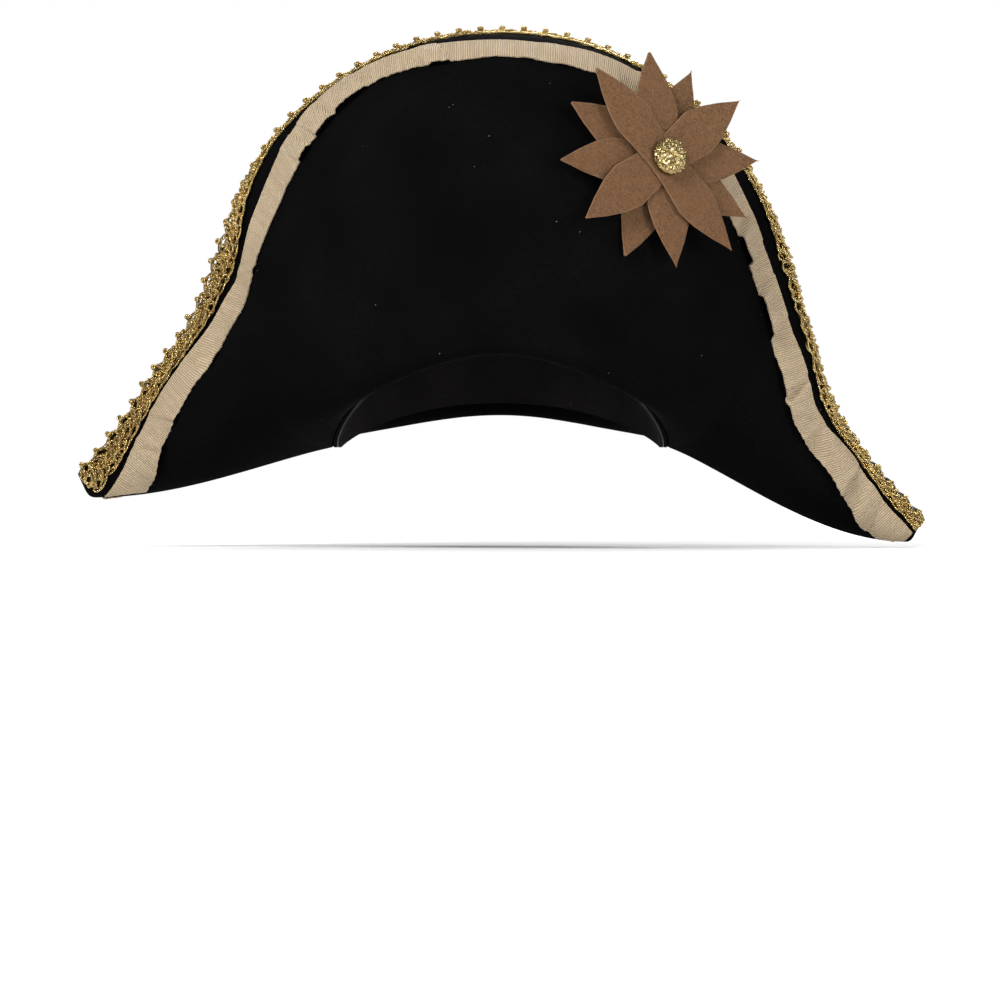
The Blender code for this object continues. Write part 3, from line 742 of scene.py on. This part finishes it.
RIBBON, SATIN = make_ribbon(), make_satin()
STITCH = make_thread("ribbon_thread", (0.34, 0.26, 0.16), (0.56, 0.45, 0.31))
DARK_STITCH = make_thread("brown_thread", (0.05, 0.03, 0.016), (0.14, 0.085, 0.045))
GILT = make_gilt("metal_thread", (0.24, 0.135, 0.028), (1.0, 0.75, 0.27), (1.0, 0.93, 0.60), 0.0016, 0.005, 0.17)
SCALLOP_GREY = make_gilt("grey_gimp", (0.10, 0.10, 0.08), (0.22, 0.22, 0.18), (0.40, 0.40, 0.34), 0.0012, 0.003)
BUTTON_GOLD = make_button_metal()

# %% [markdown]
# ## Brim: cloth, foam and facing
# The brim is a sandwich. The outer cloth isn't cut off at the edge: it turns over the foam and meets the
# facing on the inner side, which gives the soft, rounded rim under the braid. So the cloth's grid gets a
# few more rows that run round a half circle, as wide as the sandwich is thick. Towards the wing tips, the
# layers are pressed thinner. The two flaps meet at the keel, where they are sewn, and neither crosses it.

# %% Layers of the brim
FLAP_COLUMNS, FLAP_ROWS, TURN_ROWS = 240, 56, 8
CLOTH_TO, INSIDE_TO = 0.985, 0.975  # how far up the flap the cloth and the layers inside it go
SANDWICH = FLAP_CLOTH + FOAM + FACING + 2 * GAP


def thinned(u, depth):
    s = np.abs(2 * u - 1)
    return depth * (1 - (1 - TIP_SHARE) * ease((s - THINS_FROM) / (1 - THINS_FROM)))


def own_side(points, face):
    """Keeps a piece on its own flap's side of the keel, and closes the room left between the two flaps."""
    points[:, 1] = CENTRE[face] * np.maximum(points[:, 1] * CENTRE[face] - GAP / 2, 0.0)
    return points


def brim_layer(face, layer, top, thick, turned, finish):
    """A layer between two depths; a turned one runs on over the edge to the inner side."""
    flap = FLAPS[face]
    rows = FLAP_ROWS + (TURN_ROWS if turned else 0)
    last = CLOTH_TO if turned else INSIDE_TO

    def place(u, w, side):
        row = np.minimum(w * rows / FLAP_ROWS, 1.0)
        depth = thinned(u, top + thick * (1 - side))
        points = flap.at(u, row * last, -depth)
        radius = thinned(u, SANDWICH) / 2
        turn = np.maximum(w * rows - FLAP_ROWS, 0.0) / TURN_ROWS * math.pi
        over = turn > 0
        edge, inside = flap.at(u, last + 0 * u), flap.at(u, last - 0.02 + 0 * u)
        middle = flap.at(u, last + 0 * u, -radius)
        normal, out = unit(edge - middle), unit(edge - inside)
        arm = (radius - depth)[:, None]
        rolled = middle + arm * (normal * np.cos(turn)[:, None] + out * np.sin(turn)[:, None])
        return own_side(np.where(over[:, None], rolled, points), face)

    piece = laid(f"{face}_brim_{layer}", FLAP_COLUMNS, rows, place, finish)
    return stands_for(piece, f"{face}_flap_{layer}")


brim = {}
for face in CENTRE:
    brim[face, "cloth"] = brim_layer(face, "cloth", 0.0, FLAP_CLOTH, True, BLACK)
    brim[face, "foam"] = brim_layer(face, "foam", FLAP_CLOTH + GAP, FOAM, False, FOAM_BLACK)
    brim[face, "facing"] = brim_layer(face, "facing", SANDWICH - FACING, FACING, False, BLACK)

# %% [markdown]
# ## Crown, lining and sweatband
# The crown is a side band and a top, sewn together; under it lies a thin lining, and along the rim runs the
# sweatband that carries the hat on the head. All are rings of one dome: an angle up from the rim gives how
# wide the ring is and how high it lies. A few soft dents keep the cloth from looking like a moulded shell.

# %% The dome and its pieces
CROWN_COLUMNS = 160
CROWN_RADIUS, CLOTH_PER_DEGREE = 90, 2.0  # the size of the flat pieces, in millimetres
SOFTNESS = 1.1  # how deep the slack dents of the cloth are, in millimetres


def dome(u, up, depth):
    """A point of the crown: u runs round the head from the forehead, up is the angle above the rim."""
    angle, up = 2 * math.pi * u, np.radians(up)
    size = np.cos(up) ** CROWN_SIDE_POWER
    rim = np.where(np.cos(angle) > 0, rim_height(angle, "front"), rim_height(angle, "back"))
    x = (HEAD_HALF_WIDTH + WALL) * size * np.sin(angle)
    y = -(HEAD_HALF_DEPTH + WALL) * size * np.cos(angle)
    points = np.stack([x, y, rim + (CROWN_TOP - rim) * np.sin(up) ** CROWN_RISE_POWER], axis=1)
    outward = unit(points * (1, 1, 0) / (HEAD_HALF_WIDTH, HEAD_HALF_DEPTH, 1) + UP * np.sin(up)[:, None] * 1.1)
    return points - outward * np.reshape(depth, (-1, 1))


def slack(u, up):
    """Dents that fade out towards the rim, where the cloth is sewn down."""
    dents = [noise.noise(Vector((3 * math.cos(2 * math.pi * a), 3 * math.sin(2 * math.pi * a), b / 17.0)))
             for a, b in zip(u, up)]
    return SOFTNESS * np.array(dents) * ease(up / 20.0)


def crown_piece(name, node, low, high, rows, depth, thick, finish, wrinkle=None):
    def place(u, w, side):
        up = low + (high - low) * w
        inset = depth + thick * (1 - side) - slack(u, up)
        return dome(u, up, inset - (wrinkle(u, up) if wrinkle else 0.0))

    def flat(u, w):
        return u * 2 * math.pi * CROWN_RADIUS, (low + (high - low) * w) * CLOTH_PER_DEGREE

    return stands_for(laid(name, CROWN_COLUMNS, rows, place, finish, flat, merge=True), node)


def pleats(u, up):
    """The lining is cut wider than the crown and eased in, so it ripples round the head."""
    return 0.25 * np.sin(2 * math.pi * u * 34 + 0.05 * up) * ease((up - 8) / 12) * ease((86 - up) / 30)


LINING_IN = CROWN_CLOTH + GAP
crown = {
    "band": crown_piece("crown_side", "crown_band", 0.0, 45.0, 24, 0.0, CROWN_CLOTH, BLACK),
    "top": crown_piece("crown_dome", "crown_top", 45.4, 89.2, 24, 0.0, CROWN_CLOTH, BLACK),
    "lining": crown_piece("crown_inside", "crown_lining", 0.0, 89.2, 40, LINING_IN, LINING, SATIN, pleats),
    "sweatband": crown_piece(
        "sweat_band", "sweatband", 0.0, 8.0, 8, LINING_IN + LINING + GAP, SWEATBAND, BAND_TWILL),
}

# %% [markdown]
# ## Ribbon
# A ribbed ribbon is sewn along the edge. It is woven straight, so on the curved edge its inner side is too
# long and gathers into small slanting creases. It could be swept along one curve, but it is sewn by hand and
# keeps no even distance, so it is laid from the strip along the edge by a plain rule: it strays in long
# waves, is held further in on the lower wing, and is let out at its tip. At both tips it is cut along the
# keel. The ribs themselves are in its finish.

# %% The ribbon and its creases
RIBBON_WIDTH, RIBBON_IN, RIBBON_THICK = 16.0, 14.0, 0.6
RIBBON_COLUMNS, RIBBON_ROWS = 1000, 14
ROLLED_OVER = 4.6  # how far the braid lies out over the edge along the top
PRESSED = 0.45  # what is left there of the height of its cords
RIBBON_SHORT = 2.0  # how far each end is cut short of the keel
TOP_MIDDLE, TOP_REACH, TOP_FADE = 0.49, 0.17, 0.12  # the stretch along the top, in shares of the edge
CREASE_HEIGHT, CREASE_SLANT, CREASE_PITCH = 3.0, 7.0, 10.0
TRIM_HEIGHT = 0.5  # how far above the cloth's middle surface the trims lie


def ripple(length, pitch, seed):
    """Smooth irregular waves along a length, from about -1 to 1."""
    return 1.6 * np.array([noise.noise(Vector((a / pitch, seed, 0.5))) for a in length])


def fullness(face, along):
    """How fully the trims stand out: 0 along the top, where the edge curls back, and 1 at the sides."""
    return ease((np.abs(along / STRIPS[face].length - TOP_MIDDLE) - TOP_REACH) / TOP_FADE)


WAVE_DEPTH, WAVE_LENGTH, WAVE_START, WAVES_STOP = 4.5, 0.26, 0.17, 0.5  # millimetres, then shares of the edge
HELD_FROM, HELD_WITHIN, LET_OUT_FROM, LET_OUT_WITHIN = 0.66, 0.1, 0.87, 0.06
TIP_RUN = 11.0  # how far the ribbon runs out towards the edge at the tip of the lower wing
BRAID_FOLLOWS = 0.6


def stray(face, along):
    """How far inwards the ribbon has strayed: sewn in long waves, then held further in and let out at the tip."""
    share = along / STRIPS[face].length
    share = share if face == "front" else 1 - share
    waves = np.sin(2 * math.pi * (share - WAVE_START) / WAVE_LENGTH) * (1 - ease((share - WAVES_STOP) / HELD_WITHIN))
    held_in = ease((share - HELD_FROM) / HELD_WITHIN)
    return WAVE_DEPTH * (waves + held_in) - TIP_RUN * ease((share - LET_OUT_FROM) / LET_OUT_WITHIN)


def ribbon_shift(face, along):
    """Along the top the ribbon also lies a little further from the edge."""
    return stray(face, along) + 1.1 * (1 - fullness(face, along))


def braid_inset(face, along, inset):
    """The braid keeps to the edge with its outer side, and its inner side goes some way with the ribbon."""
    drawn = BRAID_FOLLOWS * stray(face, along) * fullness(face, along) * np.clip(inset / 9.0, 0.0, 1.2)
    return inset + drawn - ROLLED_OVER * (1 - fullness(face, along))


def make_ribbon_piece(face):
    strip = STRIPS[face]
    seed = 3.0 if face == "front" else 8.0

    def flat(u, w):
        inset = RIBBON_IN + RIBBON_WIDTH * w
        first, _ = strip.limits(inset + stray(face, 0 * u))
        _, last = strip.limits(inset + stray(face, 0 * u + strip.length))
        return first + RIBBON_SHORT + (last - first - 2 * RIBBON_SHORT) * u, inset

    def place(u, w, side):
        along, inset = flat(u, w)
        slant = along - CREASE_SLANT * w
        crease = ease((ripple(slant, CREASE_PITCH, seed) - 0.05) / 0.35) * ease(ripple(along, 34.0, seed + 1) + 0.8)
        lift = CREASE_HEIGHT * crease * ease(0.25 + w) + 0.35 * ripple(slant, 4.0, seed + 2) * w
        wavy = 0.22 * np.sin(2 * math.pi * along / 3.7) + 0.6 * ripple(along, 9.0, seed + 3)
        inset = inset + (w - 0.25) * wavy + (w - 0.3) * 1.2 * crease
        inset = inset + ribbon_shift(face, along)
        return own_side(strip.at(along, inset, TRIM_HEIGHT + np.maximum(lift, 0) + RIBBON_THICK * side), face)

    piece = laid(f"{face}_edge_ribbon", RIBBON_COLUMNS, RIBBON_ROWS, place, RIBBON, flat)
    return stands_for(piece, f"{face}_ribbon")


ribbons = {face: make_ribbon_piece(face) for face in CENTRE}


# %% The ribbon's running stitches
STITCH_IN, STITCH_HEIGHT, STITCH_DEPTH, STITCH_PITCH, THREAD = RIBBON_IN + 0.8, 0.85, 0.35, 5.0, 0.16


def sew_ribbon(face):
    """A thread that runs in and out of the ribbon along the edge."""
    strip = STRIPS[face]
    first, last = strip.limits(STITCH_IN)
    along = np.arange(first + 2.0, last - 2.0, STITCH_PITCH / 8)
    inset = STITCH_IN + ribbon_shift(face, along)
    height = STITCH_HEIGHT + STITCH_DEPTH * np.cos(2 * math.pi * along / STITCH_PITCH)
    line = strip.at(along, inset, height)
    normal = strip.at(along, inset, height + 1.0) - line
    piece = corded(f"{face}_ribbon_stitches", line, normal, THREAD, 5, STITCH)
    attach(piece, "root")


for face in CENTRE:
    sew_ribbon(face)

# %% [markdown]
# ## Braid
# The braid is a scroll gimp: thick gilt cords plaited along a dark tape, thinner cords that curl in loops
# over them, small round picots along the outer side and a grey scallop between two picots. Every cord is a
# line worked out along the strip: how far along, how far in and how high. A curling cord is a trochoid,
# the curve of a pen that turns on a rolling wheel. Noise makes each curl a little different.

# %% Lines of the braid's cords
BRAID_PITCH, LOOPS = 10.3, 2  # millimetres, and the loops that a thin cord makes in one pitch


def strip_line(face, along, inset, height, lift=0.0):
    strip = STRIPS[face]
    inset = braid_inset(face, along, inset)
    height = TRIM_HEIGHT + (height - TRIM_HEIGHT) * (PRESSED + (1 - PRESSED) * fullness(face, along)) + lift
    line = strip.at(along, inset, height)
    return line, strip.at(along, inset, height + 1.0) - line


def wheel(face, step, offset=0.0):
    """The turns of a cord that repeats once each pitch, sampled step times a pitch."""
    count = int(STRIPS[face].length / BRAID_PITCH)
    turns = np.linspace(0, count, count * step + 1)
    return turns, 2 * math.pi * (turns + offset), STRIPS[face].length / count


def uneven(turns, seed, amount, often=2.3):
    return amount * np.array([noise.noise(Vector((t * often, seed, 1.5))) for t in turns])


def wander(turns):
    """The braid isn't sewn on quite evenly: it creeps from nearer the ribbon to nearer the edge."""
    return 1.0 * np.cos(math.pi * turns / turns[-1]) + uneven(turns, 7.0, 0.8, 0.13)


def plait_cord(face, phase):
    turns, angle, pitch = wheel(face, 16)
    inset = 4.9 + wander(turns) + 2.4 * np.sin(angle + phase) + uneven(turns, phase, 0.8)
    height = 1.35 + 0.55 * np.cos(2 * (angle + phase)) * (1 if phase else -1)
    return strip_line(face, turns * pitch, inset, height)


def curl_cord(face, middle, reach, swing, level, seed):
    """A cord that makes loops over loops; the crimp of the gilt thread gives it small kinks."""
    turns, angle, pitch = wheel(face, 22 * LOOPS, seed / 7)
    size = 1 + uneven(turns, seed + 2, 0.5)
    along = turns * pitch - size * swing * np.sin(LOOPS * angle) + uneven(turns, seed, 1.6)
    inset = middle + wander(turns) - size * reach * np.cos(LOOPS * angle) + uneven(turns, seed + 5, 1.6)
    kink = uneven(turns, seed + 3, 0.9, 11.0)
    height = level + 0.9 * np.sin(LOOPS * angle + seed) + uneven(turns, seed + 9, 1.0) + kink
    return strip_line(face, along + kink, inset + kink, height)


def picot_cord(face):
    """For each pitch, the cord comes out, makes a little over two small turns, and goes back in."""
    turns, _, pitch = wheel(face, 26)
    share = turns % 1.0
    knot = ease(np.minimum(share / 0.22, (1 - share) / 0.22))
    spin = 2 * math.pi * 2.1 * share
    along = (np.floor(turns) + 0.5 + (share - 0.5) * (1 - knot)) * pitch + knot * 0.85 * np.sin(spin)
    standing = 1 - fullness(face, along)
    inset = 1.2 - knot * ((1 - standing) * 2.9 + 0.85 * np.cos(spin)) + uneven(turns, 4.0, 0.9, 1.0)
    inset += ROLLED_OVER * knot * standing
    return strip_line(face, along, inset, 0.9 + knot * (0.6 + 1.6 * share), 2.2 * knot * standing)


def scallop_cord(face, base, bulge, level):
    turns, _, pitch = wheel(face, 10)
    arc = np.sin(math.pi * (turns % 1.0)) ** 0.7
    return strip_line(face, turns * pitch, base + bulge * arc + wander(turns), level + 0.6 * arc)


# %% The braid's pieces
def joined(name, pieces):
    """Joins cords into one piece, without the operator that needs a selection."""
    bm = bmesh.new()
    for piece in pieces:
        bm.from_mesh(piece.data)
    bm.to_mesh(pieces[0].data)
    bm.free()
    for piece in pieces[1:]:
        bpy.data.objects.remove(piece)
    pieces[0].name = pieces[0].data.name = name
    return pieces[0]


def make_braid(face):
    strip = STRIPS[face]

    def tape_flat(u, w):
        inset = 0.8 + 8.0 * w
        first, last = strip.limits(inset)
        return first + (last - first) * u, inset

    def tape_place(u, w, side):
        along, inset = tape_flat(u, w)
        return own_side(strip.at(along, braid_inset(face, along, inset), 0.35 + 0.4 * side), face)

    lines = {
        "plait": (0.95, 7, GILT, [plait_cord(face, 0.0), plait_cord(face, math.pi)]),
        "curls": (0.62, 6, GILT, [
            curl_cord(face, 2.2, 1.7, 1.9, 2.2, 1.0), curl_cord(face, 7.9, 1.7, 1.9, 2.0, 2.0)]),
        "coils": (0.6, 6, GILT, [
            curl_cord(face, 4.2, 2.1, 2.0, 2.8, 3.0), curl_cord(face, 6.2, 2.1, 2.0, 2.5, 4.0)]),
        "picots": (0.8, 6, GILT, [picot_cord(face)]),
        "scallops": (0.5, 5, SCALLOP_GREY, [
            scallop_cord(face, 0.4, -1.9, 0.8), scallop_cord(face, -0.2, -1.0, 0.3)]),
        "inner_loops": (0.5, 5, GILT, [scallop_cord(face, 8.8, 1.7, 1.2)]),
    }
    made = [laid(f"{face}_braid_tape", 400, 4, tape_place, BRAID_TAPE, tape_flat)]
    for part, (radius, sides, finish, found) in lines.items():
        cords = [corded(f"{face}_{part}_{i}", *line, radius, sides, finish) for i, line in enumerate(found)]
        made.append(joined(f"{face}_braid_{part}", cords))
    for piece in made:
        stands_for(piece, f"{face}_braid")
    return made


BRAID_TAPE = make_cloth("braid_tape", (0.010, 0.007, 0.003), (0.035, 0.022, 0.008), (0.2, 0.15, 0.05), 0.0008)
braids = {face: make_braid(face) for face in CENTRE}

# %% [markdown]
# ## Rosette
# Six double-pointed felt leaves are stacked crosswise and sewn on through their middle with a gold button.
# Each leaf is cut by hand with a few straight snips, so its outline is read from the corners of half a leaf,
# and each is a little different. The stack is sewn to one point of the front flap. It leans with the cloth
# there, turned a little towards the front, because the stiff felt bridges the cloth's curve.

# %% Where the rosette sits
LEAVES = ((63, 106, 0.0), (151, 107, 0.0), (3, 113, 0.0), (92, 106, 0.5), (34, 114, 0.5), (128, 109, 2.0))
LEAF_THICK, LEAF_ROOM, LEAF_STEP = 1.2, 3.0, 1.5
ROSETTE_X, ROSETTE_Z, ROSETTE_UPRIGHT = 74.0, 137.0, 0.3
HALF_LEAF = ((0.0, 9.0), (0.18, 9.6), (0.45, 11.6), (0.62, 9.6), (0.80, 5.6), (1.0, 0.0))


def rosette_frame():
    """The rosette's foot on the front flap, and its axes: it leans with the cloth, turned a little upright."""
    flap = FLAPS["front"]
    off = np.hypot(flap.points[..., 0] - ROSETTE_X, flap.points[..., 2] - ROSETTE_Z)
    found = np.unravel_index(off.argmin(), off.shape)
    normal = unit(flap.normals[found] * (1 - ROSETTE_UPRIGHT) + np.array((0.0, -ROSETTE_UPRIGHT, 0.0)))
    right = unit(np.cross(UP, normal))
    return flap.points[found], np.array([right, np.cross(normal, right), normal])


FOOT, AXES = rosette_frame()
print("rosette foot", FOOT.round(1), "faces", AXES[2].round(3))


def on_rosette(x, y, height):
    return FOOT + np.stack([x, y, height], axis=1) @ AXES


# %% The leaves
def make_leaf(number, angle, length, shift):
    turn, half = math.radians(angle), length / 2
    stops, widths = np.array(HALF_LEAF).T
    widths = widths * (1 + 0.04 * math.sin(number * 2.4))
    level = LEAF_ROOM + LEAF_STEP * number

    def plan(u, w):
        x = 2 * u - 1
        wide = np.interp(np.abs(x) + 0.02 * np.sin(3 * number + 2 * np.sign(x)), stops, widths)
        return half * x, (2 * w - 1) * np.maximum(wide, 0.02) + shift

    def place(u, w, side):
        x, y = plan(u, w)
        rounding = np.sqrt(1 - 0.92 * np.abs(2 * w - 1) ** 10)
        fuzz = 0.10 * np.array([noise.noise(Vector((a / 2.2, b / 2.2, number))) for a, b in zip(x, y)])
        height = level + LEAF_THICK / 2 + (side - 0.5) * LEAF_THICK * rounding * 0.96 + fuzz
        return on_rosette(x * math.cos(turn) - y * math.sin(turn), x * math.sin(turn) + y * math.cos(turn), height)

    def rim(u, w, side):
        near = (1 - np.abs(2 * w - 1)) * np.interp(np.abs(2 * u - 1), stops, widths)
        return np.clip(1 - near / 0.4, 0, 1) * 0.7

    piece = laid(f"felt_leaf_{number + 1}", 120, 28, place, FELT, plan, mark=rim, merge=True)
    return stands_for(piece, f"rosette_leaf_{number + 1}")


leaves = [make_leaf(number, *leaf) for number, leaf in enumerate(LEAVES)]


# %% The button
def make_button():
    """Half the dome's outline is spun round the axis, and the dome is then beaten into nuggets."""
    radius, height, rim = 9.0, 6.5, 1.2
    bm = bmesh.new()
    arc = np.linspace(0, math.pi / 2, 24)
    outline = [(0, 0), (radius - 1, 0), (radius, rim / 2)]
    outline += [(radius * math.cos(a), rim + (height - rim) * math.sin(a)) for a in arc]
    verts = [bm.verts.new((x, 0, z)) for x, z in outline]
    edges = [bm.edges.new(pair) for pair in zip(verts, verts[1:])]
    bmesh.ops.spin(bm, geom=verts + edges, axis=(0, 0, 1), angle=2 * math.pi, steps=96, use_merge=True)
    bmesh.ops.remove_doubles(bm, verts=bm.verts, dist=0.001)
    seat = LEAF_ROOM + LEAF_STEP * len(LEAVES)
    for vert in bm.verts:
        cells = noise.voronoi(vert.co / 2.0)[0]
        fine = noise.noise(vert.co * 1.4)
        nugget = 1.7 * (0.5 - cells[0]) + 0.6 * fine
        above = ease((vert.co.z - 0.6 * rim) / 2.4)
        vert.co += vert.co.normalized() * float(nugget * above)
        vert.co = on_rosette(*(np.array([c]) for c in vert.co + Vector((0, 0, seat))))[0] * MM
    bmesh.ops.recalc_face_normals(bm, faces=bm.faces)
    mesh = mesh_from(bm, "button")
    mesh.shade_smooth()
    mesh.set_sharp_from_angle(angle=math.radians(35))
    mesh.materials.append(BUTTON_GOLD)
    stands_for(placed("nugget_button", mesh), "button_cap")


make_button()

# %% [markdown]
# ## Pieces that stay as they are packed
# The button's wire eye and the thread that holds the rosette already have the right shape. They only need
# a finish, which goes into their material slots.

# %% Finishes for the eye and the thread
for node, finish in (("button_eye", BUTTON_GOLD), ("rosette_thread", DARK_STITCH)):
    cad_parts[node].data.materials.clear()
    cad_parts[node].data.materials.append(finish)

# %% [markdown]
# ## What each soft piece is cut from
# Each sheet's cut size, a width and a length in millimetres, is printed with the area of its pattern.

def cut_from(piece, width, length, held, rests_on=(), **more):
    """Prints a sheet's cut size, a width and a length in millimetres, with the area of its pattern."""
    area = sum(face.area for face in piece.data.polygons) / 2
    print(piece.name, "is cut from", width, "x", length, "mm, area", round(area * 1e4), "square cm")


for face in CENTRE:
    foam = brim[face, "foam"]
    cut_from(brim[face, "cloth"], 300, 720, "stretched", [foam])
    cut_from(brim[face, "facing"], 290, 700, "stretched", [foam])
    cut_from(ribbons[face], 18, 700, "stretched", [brim[face, "cloth"]])
    tape, *cords = braids[face]
    cut_from(tape, 10, 700, "stretched", [brim[face, "cloth"]], with_pieces=cords)
cut_from(crown["band"], 110, 620, "stretched", [crown["lining"]])
cut_from(crown["top"], 165, 210, "stretched", [crown["lining"]])
cut_from(crown["lining"], 300, 360, "stretched", [crown["sweatband"]])
cut_from(crown["sweatband"], 32, 600, "stretched", [crown["lining"]])
for below, leaf in zip([brim["front", "cloth"], *leaves], leaves):
    cut_from(leaf, 24, 115, "laid", [below])

# %% [markdown]
# ## The floor
# A large pale plane lies just under the lowest point of the wings.

# %% Floor
def make_floor():
    finish, tree, shader = new_finish("studio_paint", 0.9, specular=0.1)
    cloud = effect(tree, DYEING, where(tree), Size=0.6)
    color = blend_color(tree, cloud["Mask"], (0.88, 0.88, 0.88), (0.90, 0.90, 0.90))
    paint(tree, shader, color)
    far = wire(tree, "ShaderNodeVectorMath", {0: where(tree)}, operation="LENGTH")
    tree.links.new(spread(tree, far.outputs["Value"], 0.25, 1.6), shader.inputs["Emission Color"])
    shader.inputs["Emission Strength"].default_value = 0.8
    level = CAD_BOX[0][2] - 0.001
    bm = bmesh.new()
    bmesh.ops.create_grid(bm, x_segments=1, y_segments=1, size=6.0)
    bmesh.ops.translate(bm, vec=(0, 2.0, level), verts=bm.verts)
    mesh = mesh_from(bm, "studio_floor")
    mesh.materials.append(finish)
    placed("studio_floor", mesh)


make_floor()
